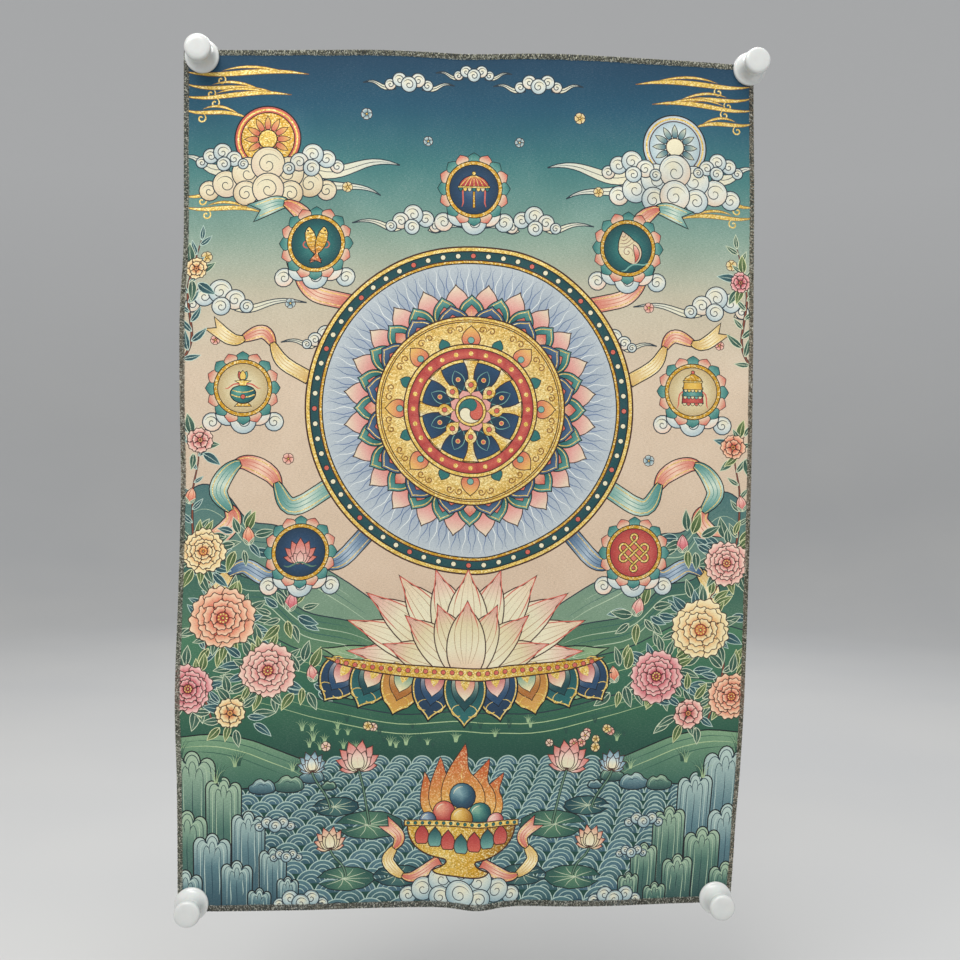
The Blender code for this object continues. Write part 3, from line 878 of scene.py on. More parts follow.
def sign_knot(T):
    T = T.at(0, 0, 45, 0.98)
    lines = (-0.4, 0.0, 0.4)
    reach = 0.56
    d, w, w2 = 0.4, 2.9, 1.6
    ends = [arc(reach, -0.2, 0.2, a0=-90, a1=90, n=8), arc(-reach, 0.2, 0.2, a0=90, a1=270, n=8)]
    ends += [e[:, ::-1] for e in ends]
    corner = join(P((reach, 0.4)), arc(reach, reach, 0.16, a0=-90, a1=180, n=10), P((0.4, reach)))
    for width, c, g in ((w, INK, 0), (w2, GOLD_LIGHT, 1)):
        for e in ends + [corner, -corner]:
            ART.line(T(e), width, c, gold=g)
    for x in lines:
        ART.line(T(P((x, -reach), (x, reach))), w, INK)
        ART.line(T(P((x, -reach), (x, reach))), w2, GOLD_LIGHT, gold=1)
    for y in lines:
        ART.line(T(P((-reach, y), (reach, y))), w, INK)
        ART.line(T(P((-reach, y), (reach, y))), w2, GOLD_LIGHT, gold=1)
    for i, x in enumerate(lines):
        for j, y in enumerate(lines):
            if (i + j) % 2 == 0:
                ART.line(T(P((x, y - 0.15), (x, y + 0.15))), w, INK)
                ART.line(T(P((x, y - 0.17), (x, y + 0.17))), w2, GOLD_LIGHT, gold=1)


def sign_banner(T):
    for k, (y, w) in enumerate(((0.46, 0.50), (0.12, 0.47), (-0.22, 0.44))):
        cols = ((CORAL, CRIMSON), (TURQUOISE, TEAL), (GOLD_LIGHT, GOLD))[k]
        ART.shape(T(P((-w, y - 0.3), (w, y - 0.3), (w + 0.04, y + 0.12), (-w - 0.04, y + 0.12))),
                  T.fade((-w, 0), (w, 0), cols[1], cols[0], cols[1]), INK, 0.7)
        for j in range(5):
            x = (-0.8 + 0.4 * j) * w
            ART.shape(T(arc(x, y + 0.1, 0.2 * w, 0.14, 0, 180, n=6)), (CREAM, cols[0])[j % 2], INK, 0.5)
        ART.shape(T(P((-w - 0.05, y - 0.34), (w + 0.05, y - 0.34), (w + 0.05, y - 0.25), (-w - 0.05, y - 0.25))),
                  GOLD_LIGHT, INK, 0.5, gold=1)
    ART.shape(T(both(join(bez((0.46, -0.55), (0.4, -0.8), (0.14, -0.8), (0, -0.98), 8))[::-1])), GOLD, INK, 0.7, gold=1)
    ART.dot(T, 0, -0.98, 0.09, CORAL, INK)
    for side in (-1, 1):
        ART.line(T.at(flip=side < 0)(bez((0.5, 0.0), (0.86, 0.2), (0.56, 0.5), (0.8, 0.86), 9)), 1.3, CORAL, taper=(1, 0.3))


def roundel(x, y, r, sign, field):
    """A sign on a small lotus-edged disc that sits on a cloud."""
    T = PAGE.at(x, y)
    cloud(T.at(0, r * 0.92, size=r / 27), SMALL_CLOUD, blush=(240, 206, 190))
    n = 16
    for k in range(n):
        q = T.at(0, 0, 360 * k / n).at(0, -r * 0.86)
        ART.shape(q(both(ogee(r * 0.42, r * 0.3, belly=0.66))),
                  q.fade((0, 0), (0, -r * 0.3), *((CREAM_LIGHT, CORAL) if k % 2 else (TURQUOISE, TEAL))), INK, 0.6)
    ART.shape(T(arc(0, 0, r * 0.9, n=34)), GOLD, INK, 0.8, gold=1)
    ART.shape(T(arc(0, 0, r * 0.78, n=30)), T.glow((0, 0), 0, r * 0.8, *field), INK, 0.7, seed=5)
    sign(T.at(0, 0, size=r * 0.64))


def wheel(T, r):
    """The eight-spoked wheel."""
    T = T.at(size=r)
    for k in range(8):
        q = T.at(0, 0, 45 * k)
        ART.shape(q.at(0, -0.98)(both(ogee(0.26, 0.30, belly=0.7))), q.fade((0, -0.98), (0, -1.28), CORAL, GOLD_LIGHT), BROWN_INK, 0.8)
        ART.dot(q, 0, -1.06, 0.05, TURQUOISE, INK, 0.5)
        q2 = T.at(0, 0, 45 * k + 22.5)
        ART.shape(q2.at(0, -0.98)(both(ogee(0.16, 0.16, belly=0.7))), TEAL, INK, 0.6)
    ART.shape(T(arc(0, 0, 1.0, n=64)), GOLD_LIGHT, BROWN_INK, 1.2, gold=1)
    ART.shape(T(arc(0, 0, 0.94, n=60)), T.glow((0, 0), 0.76, 0.94, CRIMSON, CORAL, CRIMSON), BROWN_INK, 0.9)
    for k in range(24):
        a = TAU * k / 24
        ART.dot(T, 0.86 * math.cos(a), 0.86 * math.sin(a), 0.035, GOLD_LIGHT, None, gold=1, n=7)
    ART.shape(T(arc(0, 0, 0.78, n=56)), GOLD_LIGHT, BROWN_INK, 0.9, gold=1)
    ART.shape(T(arc(0, 0, 0.73, n=52)), T.glow((0, 0), 0.2, 0.73, TEAL_DARK, NAVY, DEEP_BLUE), INK, 0.8, seed=8)
    for k in range(8):
        q = T.at(0, 0, 45 * k + 22.5)
        ART.line(q(bez((0, -0.3), (0.1, -0.42), (0.14, -0.52), (0, -0.64), 8)), 0.7, TURQUOISE, taper=(0.4, 0.4))
        ART.line(q(bez((0, -0.3), (-0.1, -0.42), (-0.14, -0.52), (0, -0.64), 8)), 0.7, TURQUOISE, taper=(0.4, 0.4))
        ART.dot(q, 0, -0.5, 0.032, CORAL, GOLD_LIGHT, 0.5)
    for k in range(8):
        q = T.at(0, 0, 45 * k)
        half = join(P((0.05, -0.2), (0.045, -0.3)), bez((0.045, -0.3), (0.11, -0.36), (0.11, -0.44), (0.04, -0.48), 6),
                    bez((0.04, -0.48), (0.04, -0.58), (0.06, -0.66), (0.12, -0.76), 6))
        ART.shape(q(np.vstack([half, mirror(half)])), q.fade((-0.1, 0), (0.1, 0), CREAM_LIGHT, GOLD_LIGHT, GOLD), BROWN_INK, 0.8, gold=0.9)
        ART.dot(q, 0, -0.39, 0.04, CORAL, BROWN_INK, 0.5)
    for k in range(8):
        q = T.at(0, 0, 45 * k + 22.5).at(0, -0.2)
        ART.shape(q(both(ogee(0.17, 0.13, belly=0.7))), PINK, BROWN_INK, 0.6)
    ART.shape(T(arc(0, 0, 0.23, n=30)), GOLD_LIGHT, BROWN_INK, 0.9, gold=1)
    for k, c in enumerate((CORAL, CREAM_LIGHT, TEAL)):
        q = T.at(0, 0, 120 * k)
        comma = join(arc(0, 0, 0.18, a0=-90, a1=30, n=8), arc(0.078, 0.045, 0.09, a0=30, a1=210, n=8),
                     arc(-0.0, -0.09, 0.09, a0=90, a1=-90, n=8))
        ART.fill(q(comma), c)
        ART.line(q(arc(0.0, -0.09, 0.09, a0=90, a1=-90, n=8)), 0.7, BROWN_INK)
    ART.line(T(arc(0, 0, 0.185, n=26)), 0.8, BROWN_INK, closed=True)


def big_lotus(T, rows):
    """A wide open lotus seen from the side: rows of (angle, length, width)."""
    for a, length, width, tone in rows:
        q = T.at(0, 0, a)
        cols = ((CREAM_DARK, CREAM, CREAM_LIGHT, PINK), (CREAM, CREAM_LIGHT, CREAM_LIGHT, PEACH),
                (PEACH, CREAM_LIGHT, CREAM, PINK))[tone]
        ART.shape(q(both(ogee(width, length, belly=0.6, sharp=0.1))),
                  q.fade((0, 0), (0, -length), *cols), BROWN_INK, 1.1, raised=0.1, seed=9)
        for f in (-0.3, -0.15, 0.0, 0.15, 0.3):
            ART.line(q(bez((f * width * 0.4, -0.12 * length), (f * width * 1.3, -0.4 * length),
                           (f * width * 1.2, -0.7 * length), (f * width * 0.15, -0.93 * length), 10)),
                     0.55, (178, 140, 104), taper=(0.5, 0.3))
        ART.line(q(bez((0.28 * width, -0.62 * length), (0.22 * width, -0.8 * length), (0.08 * width, -0.9 * length),
                       (0, -0.985 * length), 7)), 1.1, CORAL, taper=(0.2, 0.8))
        ART.line(q(bez((-0.28 * width, -0.62 * length), (-0.22 * width, -0.8 * length), (-0.08 * width, -0.9 * length),
                       (0, -0.985 * length), 7)), 1.1, CORAL, taper=(0.2, 0.8))


def boulders(T, columns, cols, ink=INK, seed=0):
    """Rocks as a row of overlapping round-topped pillars.
    columns: rows of (x, top, width, foot)."""
    rnd = random.Random(seed)
    light, mid, dark = cols
    for x, top, w, foot in columns:
        h = foot - top
        half = w / 2
        lobes = 3
        crown = [P((-half, h))]
        for k in range(lobes):
            cx = -half + w * (k + 0.5) / lobes
            lift = (0.0, 0.16, 0.05)[k] * w
            crown.append(arc(cx, w * 0.22 - lift, w / lobes * 0.56, w * 0.24, 180, 360, n=8))
        crown.append(P((half, h)))
        q = T.at(x, top)
        path = np.vstack(crown)
        ART.shape(q(path), q.fade((0, 0), (0, h), (0, light), (0.35, mid), (1, dark)), ink, 1.2, seed=12)
        for inset, c, wd in ((0.10, dark, 0.8), (0.19, light, 0.9), (0.27, dark, 0.6)):
            s = 1 - 2 * inset
            inner = np.vstack([path[1:-1] * (s, 1) + (0, inset * w * 0.9)])
            inner = np.vstack([P((inner[0][0], h * (0.65 + 0.2 * rnd.random()))), inner,
                               P((inner[-1][0], h * (0.5 + 0.3 * rnd.random())))])
            ART.line(q(inner), wd, c, taper=(0.2, 0.2))
        for k in range(3):
            xx = (-0.2 + 0.2 * k) * w
            y0 = w * (0.42 + 0.1 * rnd.random())
            y1 = y0 + (h - y0) * (0.4 + 0.5 * rnd.random())
            if y1 > y0 + 3:
                ART.line(q(bez((xx, y0), (xx + 1.5, (y0 + y1) / 2), (xx - 1.5, (y0 + y1) / 2), (xx, y1), 6)),
                         0.8, (light, dark)[k % 2], taper=(0.3, 0.2))


def tuft(T, h, n=5, colour=GREEN_DARK, edge=None):
    for k in range(n):
        f = (k / max(1, n - 1) - 0.5) * 2
        ART.line(T(bez((f * h * 0.06, 0), (f * h * 0.1, -0.4 * h), (f * h * 0.3, -0.75 * h),
                       (f * h * 0.55, -h * (1 - 0.3 * abs(f))), 6)), 0.9, edge or colour, taper=(1, 0.1), reach=1.0)


def sea(x0, x1, y0, y1, r, seed=0):
    """Rows of wave scales, nearer rows over farther ones."""
    rnd = random.Random(seed)
    row, y = 0, y0
    while y < y1 + r:
        rr = r * (0.78 + 0.42 * (y - y0) / max(1, y1 - y0))
        x = x0 - rr + (rr if row % 2 else 0)
        while x < x1 + rr:
            q = PAGE.at(x, y)
            deep = (WATER_DARK, (62, 100, 124), (44, 84, 96))[rnd.randrange(3)]
            ART.fill(q(arc(0, 0, rr, rr * 0.9, 180, 360, n=11)), WATER_LIGHT, tol=0.05)
            ART.fill(q(arc(0, 0, rr - 1.1, rr * 0.9 - 1.1, 180, 360, n=11)), q.fade((0, -rr), (0, 0), WATER, deep), tol=0.05)
            for f in (0.66, 0.36):
                ART.line(q(arc(0, 0, rr * f, rr * 0.9 * f, 192, 348, n=7)), 0.85, WATER_LIGHT, taper=(0.4, 0.4), tol=0.05)
            x += 2 * rr
        y += rr * 0.66
        row += 1


def rays(T, r0, r1, n, colours, width=0.9, seed=0):
    """Fine wavy rays between two radii."""
    rnd = random.Random(seed)
    for k in range(n):
        a = TAU * k / n
        c, s = math.cos(a), math.sin(a)
        t = np.linspace(0, 1, 9)
        r = r0 + (r1 - r0) * t * (1.0 if k % 2 else 0.86 + 0.1 * rnd.random())
        sway = (2.2 if k % 2 else -2.2) * np.sin(TAU * t * 1.5) * (0.3 + 0.7 * t)
        ART.line(T(np.stack([c * r - s * sway, s * r + c * sway], 1)), width,
                 colours[k % len(colours)], taper=(0.5, 0.15), reach=0.6, raised=0.2)


def petal_ring(T, r, n, w, h, cols, ink=INK, rim=None, first=0.0, inner=None):
    """A ring of pointed petals that look outward."""
    for k in range(n):
        q = T.at(0, 0, first + 360.0 * k / n).at(0, -r)
        ART.shape(q(both(ogee(w, h))), q.fade((0, 0), (0, -h), *cols), ink, 0.9)
        if rim is not None:
            ART.line(q(both(ogee(w * 0.86, h * 0.90))), 0.8, rim, closed=True, gold=1.0)
        if inner is not None:
            ART.shape(q.at(0, -0.05 * h)(both(ogee(w * 0.56, h * 0.60))),
                      q.fade((0, 0), (0, -0.6 * h), *inner), ink, 0.6)
            ART.line(q(P((0, -0.12 * h), (0, -0.48 * h))), 0.6, GOLD_LIGHT, gold=1.0, taper=(1, 0.2))


def wisp(T, path, width, colour=GOLD_LIGHT, ink=None, curl=0.0):
    """A drawn-out gold wisp, thick in the middle."""
    p = np.asarray(path, float)
    ART.shape(T(band(p, width, lambda s: np.maximum(0.05, np.sin(np.pi * s) ** 0.8))),
              colour, ink or GOLD_DARK, 0.5, gold=1.0)


def lotus_pad(T, r, cols=((66, 112, 92), (36, 80, 76)), tilt=0.42, notch=20, ink=INK):
    """A round leaf lying on the water."""
    q = stretch(T, r, r * tilt)
    edge = arc(0, 0, 1, a0=notch, a1=360 - notch + 12, n=22)
    edge = edge * (1 + 0.035 * np.cos(np.linspace(0, 9 * TAU, len(edge))))[:, None]
    ART.shape(q(np.vstack([edge, P((0.12, 0))])), q.glow((0, 0), 0, 1.1, *cols), ink, 0.9, seed=6)
    for k in range(9):
        a = math.radians(notch + 14 + (332 - 2 * notch) * k / 8)
        ART.line(q(P((0.1, 0), (0.45 * math.cos(a), 0.45 * math.sin(a)),
                     (0.84 * math.cos(a), 0.84 * math.sin(a)))), 0.55, LEAF_EDGE, taper=(1, 0.3))


def side_lotus(T, r, cols=(CREAM_LIGHT, PINK_LIGHT, PINK, CORAL), ink=BROWN_INK):
    """A lotus flower seen from the side, opening upward (-y)."""
    T = T.at(size=r)
    light, mid, deep, tip = cols
    for a, s, w in ((-92, 0.74, 0.42), (92, 0.74, 0.42), (-66, 0.92, 0.46), (66, 0.92, 0.46),
                    (-40, 1.02, 0.5), (40, 1.02, 0.5), (-15, 1.08, 0.52), (15, 1.08, 0.52)):
        q = T.at(0, 0.3, a)
        ART.shape(q(both(ogee(w, s))), q.fade((0, 0), (0, -s), light, mid, deep, tip), ink, 0.75, raised=0.1)
        for f in (-0.25, 0.0, 0.25):
            ART.line(q(bez((f * w * 0.3, -0.1), (f * w, -0.35), (f * w, -0.6), (f * w * 0.2, -0.86 * s), 6)),
                     0.45, deep, taper=(0.4, 0.3))
    for a, s, w in ((-54, 0.66, 0.44), (54, 0.66, 0.44), (-27, 0.74, 0.46), (27, 0.74, 0.46), (0, 0.78, 0.5)):
        q = T.at(0, 0.36, a)
        ART.shape(q(both(ogee(w, s))), q.fade((0, 0), (0, -s), light, light, mid, deep), ink, 0.75, raised=0.15)
        ART.line(q(P((0, -0.12), (0, -0.6 * s))), 0.45, tip, taper=(0.4, 0.2))


def spray(T, flowers, stems, seed=0, leaf_size=15.0):
    """A flowering bush: stems with leaves first, then the blossoms.
    stems: (path points, leaves, palette); flowers: (x, y, r, colours)."""
    for k, (path, n, palette) in enumerate(stems):
        sprig(T, smooth(path, 6), n, leaf_size, palette=palette, seed=seed * 31 + k, veins=1)
    for k, (x, y, r, cols) in enumerate(flowers):
        c = T.at(x, y)
        if r < 10:
            bud(c.at(turn=(k * 53) % 70 - 35), r, cols)
            continue
        for j in range(7):
            a = 360 * j / 7 + k * 17
            leaf(c.at(r * 0.62 * math.cos(math.radians(a)), r * 0.62 * math.sin(math.radians(a)), a),
                 r * 0.72, bend=0.1 if j % 2 else -0.1, veins=1)
        peony(c, r, cols, seed=seed * 7 + k)


# =============================================================================
# The design of this panel
# =============================================================================
def rect(x0, y0, x1, y1):
    return P((x0, y0), (x1, y0), (x1, y1), (x0, y1))


MID = PANEL_WIDTH / 2
HUB = (MID, 372.0)          # middle of the medallion
PEACHY = (224, 202, 186)


def ridge(pts, foot, cols, deep, ink=INK_SOFT, lines=4, gap=6.5, light=(184, 208, 184), dark=(46, 96, 98)):
    """A hill: its ridge line, filled down to foot, with lines that follow it."""
    top = smooth(np.array(pts, float), 6)
    hi = top[:, 1].min()
    ART.shape(np.vstack([top, P((top[-1][0], foot), (top[0][0], foot))]),
              PAGE.fade((0, hi), (0, hi + deep), *cols), ink, 1.1)
    for k in range(1, lines + 1):
        m = len(top) // 8 * ((k * 3) % 4)
        part = top[3 + m // 2:len(top) - 3 - m // 3]
        ART.line(part + (0, gap * k), 0.8, dark if k % 2 else light, taper=(0.2, 0.2))


def background():
    ART.fill(rect(-3, -3, 603, 903), PAGE.fade(
        (0, 0), (0, 560), (0, (14, 60, 94)), (0.10, (24, 84, 116)), (0.21, (60, 124, 132)),
        (0.34, (132, 164, 156)), (0.45, (196, 190, 174)), (0.60, (218, 198, 181)), (1, (214, 190, 172))))
    far, near = ((66, 112, 118), (118, 152, 132)), ((42, 92, 90), (88, 132, 100))
    ridge(((-6, 468), (22, 450), (48, 462), (70, 488), (104, 496), (134, 528), (176, 556), (232, 596)), 640, far, 120)
    ridge(((606, 480), (575, 456), (552, 468), (530, 498), (500, 504), (468, 536), (424, 560), (368, 598)), 640, far, 120)
    ridge(((-6, 530), (30, 518), (64, 546), (92, 552), (130, 584), (190, 600), (262, 640)), 680, near, 110)
    ridge(((606, 540), (572, 526), (540, 550), (508, 558), (474, 588), (412, 602), (338, 640)), 680, near, 110)
    ridge(((-6, 606), (60, 594), (130, 626), (210, 642), (300, 650), (390, 642), (470, 624), (540, 594), (606, 606)),
          905, ((74, 130, 98), (22, 80, 70)), 130, lines=5, gap=5.6, light=(176, 204, 158), dark=(54, 104, 90))
    ridge(((-6, 664), (70, 656), (150, 678), (230, 694), (300, 690), (372, 694), (452, 676), (530, 656), (606, 664)),
          905, ((62, 120, 90), (18, 68, 62)), 100, lines=4, gap=5.2, light=(168, 198, 152), dark=(44, 92, 84))


def blossom(x, y, r, cols=(PINK_LIGHT, CORAL), ink=BROWN_INK, turn=0.0):
    """A small five-petalled flower."""
    T = PAGE.at(x, y, turn, r)
    for k in range(5):
        q = T.at(turn=72 * k)
        ART.shape(q(both(join(P((0, 0), (0.1, -0.1)), bez((0.1, -0.1), (0.75, -0.5), (0.5, -1.1), (0.0, -0.92), 6)))),
                  q.fade((0, 0), (0, -1), cols[1], cols[0]), ink, 0.6)
    ART.dot(T, 0, 0, 0.22, GOLD_LIGHT, ink, 0.5, gold=1, n=6)


def sky_clouds():
    rnd = random.Random(4)
    for flip in (False, True):
        T = Place(MID, 0, flip=flip)
        for k, (x, y, a, length, w) in enumerate((
                (300, 22, 178, 128, 5.4), (300, 34, 173, 96, 4.6), (302, 47, 180, 112, 5.0),
                (302, 60, 172, 70, 4.2), (302, 150, 184, 66, 4.4), (302, 161, 176, 84, 4.6))):
            q = T.at(x, y, a)
            wisp(q, bez((0, 0), (length * 0.3, -8), (length * 0.55, 9), (length, -2 + 4 * rnd.random()), 9), w)
            wisp(q, bez((length * 0.30, 2), (length * 0.46, 9), (length * 0.60, 9), (length * 0.82, 3), 7), 2.6)
            ART.line(q(spiral(length * 0.3, -7.5, 5.4, 1.2, 80, -1.1, 14)), 1.3, GOLD_LIGHT, gold=1.0, taper=(0.4, 0.9))
        c = T.at(214, 92)
        sun = flip
        ART.shape(c(arc(0, 0, 34, n=44)), CORAL if sun else PERI_LIGHT, INK, 1.2, seed=9)
        ART.line(c(arc(0, 0, 30.5, n=40)), 1.6, GOLD_LIGHT, closed=True, gold=1.0)
        ART.shape(c(arc(0, 0, 27.5, n=38)), c.glow((0, 0), 0, 27, *(((250, 226, 150), GOLD_LIGHT, GOLD) if sun else
                                                                    ((250, 248, 236), (222, 232, 238), (168, 194, 214)))),
                  BROWN_INK, 1.0, seed=6, gold=0.9 if sun else 0)
        for k in range(12):
            q = c.at(turn=30 * k).at(0, -10)
            ART.shape(q(both(ogee(6.2, 14))), q.fade((0, 0), (0, -14), *((CORAL, GOLD_LIGHT) if sun else (SKY_BLUE, CREAM_LIGHT))),
                      BROWN_INK if sun else INK, 0.7)
        ART.dot(c, 0, 0, 9.5, GOLD_LIGHT if sun else CREAM_LIGHT, BROWN_INK, 0.8, gold=1.0 if sun else 0.0)
        warm = (CREAM_LIGHT, (238, 226, 200), (214, 190, 158))
        tail(c, bez((40, 30), (68, 38), (64, 14), (88, 18), 10), 14)
        tail(c, bez((-44, 30), (-82, 46), (-92, 14), (-136, 26), 12), 17)
        tail(c, bez((-34, 36), (-66, 60), (-90, 40), (-116, 58), 12), 13)
        cloud(c.at(0, 44, size=1.16), BIG_CLOUD, blush=PEACHY, cols=warm if sun else (CREAM_LIGHT, (224, 230, 232), (172, 196, 214)))
        cloud(c.at(-48, 24, size=0.78), SIDE_CLOUD, blush=PEACHY)
        cloud(c.at(48, 20, size=0.66, flip=True), SIDE_CLOUD)
        # the clouds further down
        for x, y, size, side, drawn in ((62, 176, 0.72, False, 60), (262, 258, 0.86, True, 70), (150, 300, 0.6, False, 52)):
            q = T.at(x, y, 0, size, side)
            tail(q, bez((22, 8), (drawn * 0.7, 20), (drawn * 0.8, -8), (drawn * 1.5, 4), 9), 11)
            tail(q, bez((-22, 8), (-drawn * 0.6, 20), (-drawn * 0.7, -4), (-drawn * 1.2, 6), 9), 10)
            cloud(q, SIDE_CLOUD, blush=PEACHY)
    for x, y, size, f in ((232, 32, 0.74, False), (368, 32, 0.74, True), (300, 20, 0.62, False)):
        q = Place(x, y, 0, size, f)
        tail(q, bez((20, 6), (44, 16), (40, -6), (64, 2), 8), 9)
        tail(q, bez((-20, 6), (-44, 16), (-40, -6), (-64, 2), 8), 9)
        cloud(q, SMALL_CLOUD, blush=PEACHY)
    for x, y, r in ((188, 66, 6), (412, 66, 6), (252, 92, 5), (348, 92, 5), (168, 142, 5.5), (432, 142, 5.5), (24, 214, 6),
                    (576, 214, 6), (112, 262, 5.5), (488, 262, 5.5), (110, 424, 6), (490, 424, 6), (128, 470, 5), (472, 470, 5),
                    (36, 300, 5), (564, 300, 5)):
        blossom(x, y, r, ((PINK_LIGHT, CORAL), (CREAM_LIGHT, GOLD), ((220, 232, 240), SKY_BLUE))[int(x + y) % 3], turn=x % 72)


def medallion():
    T = PAGE.at(*HUB)
    teal, coral = ((214, 230, 222), (66, 138, 140)), ((246, 214, 194), (206, 96, 82))
    navy, cream = ((176, 196, 222), (44, 82, 128)), ((250, 240, 208), (214, 172, 96))
    for flip in (False, True):
        q = Place(MID, 0, flip=flip)
        scarf(q, smooth(P((126, 262), (166, 250), (186, 218), (170, 184), (196, 158), (232, 168)), 8), 17, coral, teal)
        scarf(q, smooth(P((140, 450), (186, 474), (208, 440), (240, 428), (262, 456), (246, 486), (268, 512)), 8), 19, teal, coral)
        scarf(q, smooth(P((104, 500), (140, 534), (176, 520), (206, 548), (236, 536), (260, 560), (252, 592)), 8), 18, navy, cream,
              cuts=(0.28, 0.5, 0.76))
        scarf(q, smooth(P((168, 340), (196, 322), (214, 292), (244, 300), (270, 282)), 8), 14, cream, coral, cuts=(0.4, 0.7))
    R = 172.0
    ART.shape(T(arc(0, 0, R, n=120)), GOLD_LIGHT, BROWN_INK, 1.5, gold=1.0)
    ART.shape(T(arc(0, 0, R - 4.8, n=110)), T.glow((0, 0), 120, R - 4.5, TEAL, TEAL_DARK), INK, 1.1, seed=12)
    for k in range(64):
        q = T.at(turn=360 * k / 64)
        ART.dot(q, 0, -(R - 9.4), 2.9, CREAM_LIGHT if k % 4 else CORAL, INK, 0.6, n=7)
    ART.shape(T(arc(0, 0, R - 14, n=100)), GOLD, BROWN_INK, 1.0, gold=1.0)
    ART.shape(T(arc(0, 0, R - 17.4, n=96)), T.glow((0, 0), 96, R - 17, (0, PERI_DARK), (0.35, PERIWINKLE), (1, PERI_LIGHT)),
              INK, 1.1, seed=9)
    rays(T, 112, R - 19, 160, (PERI_DARK, (90, 116, 170), (228, 236, 246)), 1.0, seed=3)
    petal_ring(T, 97, 24, 26, 36, (CORAL, PINK, CREAM_LIGHT), BROWN_INK, first=7.5)
    petal_ring(T, 92, 24, 27, 30, (TEAL_DARK, TEAL, TURQUOISE), INK, rim=GOLD_LIGHT, inner=(CREAM_LIGHT, CORAL))
    petal_ring(T, 84, 16, 34, 28, (NAVY, DEEP_BLUE, PERI_DARK), INK, rim=GOLD_LIGHT, first=11.25, inner=(GOLD_LIGHT, CORAL))
    ART.shape(T(arc(0, 0, 99, n=80)), GOLD_LIGHT, BROWN_INK, 1.3, gold=1.0)
    ART.line(T(arc(0, 0, 95.4, n=76)), 1.0, GOLD_DARK, closed=True)
    ART.shape(T(arc(0, 0, 93.4, n=76)), T.glow((0, 0), 60, 94, (246, 226, 160), (232, 190, 96)), BROWN_INK, 0.9, gold=1.0, seed=9)
    for k in range(16):
        q = T.at(turn=22.5 * k + 11.25)
        for f in (False, True):
            ART.line(q.at(flip=f)(spiral(5.0, -85.5, 4.6, 1.0, 170, 1.15, 12)), 1.0, GOLD_DARK, taper=(0.5, 1))
    wheel(T, 70)


def ring_of_signs():
    cx, cy = HUB
    fields = {"blue": (PERI_DARK, DEEP_BLUE, NAVY), "teal": (TURQUOISE, TEAL, TEAL_DARK),
              "coral": ((226, 120, 100), CORAL, CRIMSON), "cream": (CREAM_LIGHT, CREAM, CREAM_DARK)}
    for dx, dy, sign, field in (
            (0, -232, sign_parasol, "blue"), (164, -172, sign_conch, "teal"), (-164, -172, sign_fish, "teal"),
            (236, -22, sign_banner, "cream"), (-236, -22, sign_vase, "cream"),
            (176, 150, sign_knot, "coral"), (-176, 150, sign_lotus, "blue")):
        roundel(cx + dx, cy + dy, 33.0, sign, fields[field])


def lotus_seat():
    """The lotus that carries the medallion, with its coloured foot petals."""
    T = PAGE.at(MID, 640)
    for flip in (False, True):
        q = T.at(flip=flip)
        for a, s in ((101, 106), (88, 118), (75, 118)):
            w = q.at(38, 14, a)
            ART.shape(w(both(ogee(32, s))), w.fade((0, 0), (0, -s), GREEN_DARK, GREEN, GREEN_LIGHT), INK, 1.2, seed=12)
            ART.line(w(P((0, -8), (0, -0.85 * s))), 1.0, LEAF_EDGE, taper=(1, 0.2))
            for f in (0.3, 0.42, 0.54, 0.66):
                for sgn in (-1, 1):
                    ART.line(w(bez((0, -f * s), (sgn * 3, -(f + 0.05) * s), (sgn * 6, -(f + 0.08) * s), (sgn * 8, -(f + 0.14) * s), 3)),
                             0.6, LEAF_EDGE, taper=(1, 0.2))
    big_lotus(T, ((-84, 126, 40, 0), (84, 126, 40, 0), (-70, 134, 44, 1), (70, 134, 44, 1),
                  (-55, 130, 46, 0), (55, 130, 46, 0), (-38, 118, 46, 1), (38, 118, 46, 1),
                  (-19, 106, 46, 0), (19, 106, 46, 0), (0, 102, 48, 1)))
    big_lotus(T.at(0, 8), ((-72, 92, 38, 2), (72, 92, 38, 2), (-48, 88, 40, 2), (48, 88, 40, 2),
                           (-24, 78, 40, 2), (24, 78, 40, 2), (0, 76, 42, 2)))
    sets = ((TEAL, TEAL_DARK, CREAM_LIGHT, CORAL), (NAVY, DEEP_BLUE, PINK_LIGHT, CRIMSON),
            ((222, 170, 74), (176, 108, 40), (250, 236, 190), TEAL))
    for k in (-4, 4, -3, 3, -2, 2, -1, 1, 0):
        x = k * 31.0
        q = T.at(x * 0.98, 7 - 1.9 * abs(k), 180 - k * 8)
        throne_petal(q, 45, 60 - 3.0 * abs(k), sets[abs(k) % 3])
    ART.shape(T(both(join(bez((0, 17), (70, 17), (124, 8), (148, -7), 14), bez((148, -7), (110, -3), (60, 4), (0, 4), 14)))),
              T.fade((-130, 0), (130, 0), (0, GOLD), (0.5, GOLD_LIGHT), (1, GOLD)), BROWN_INK, 1.2, gold=1.0)
    beads(T(bez((-134, -2), (-80, 13), (80, 13), (134, -2), 30)), 2.6, 9.0, CORAL, BROWN_INK, gold=0.0)


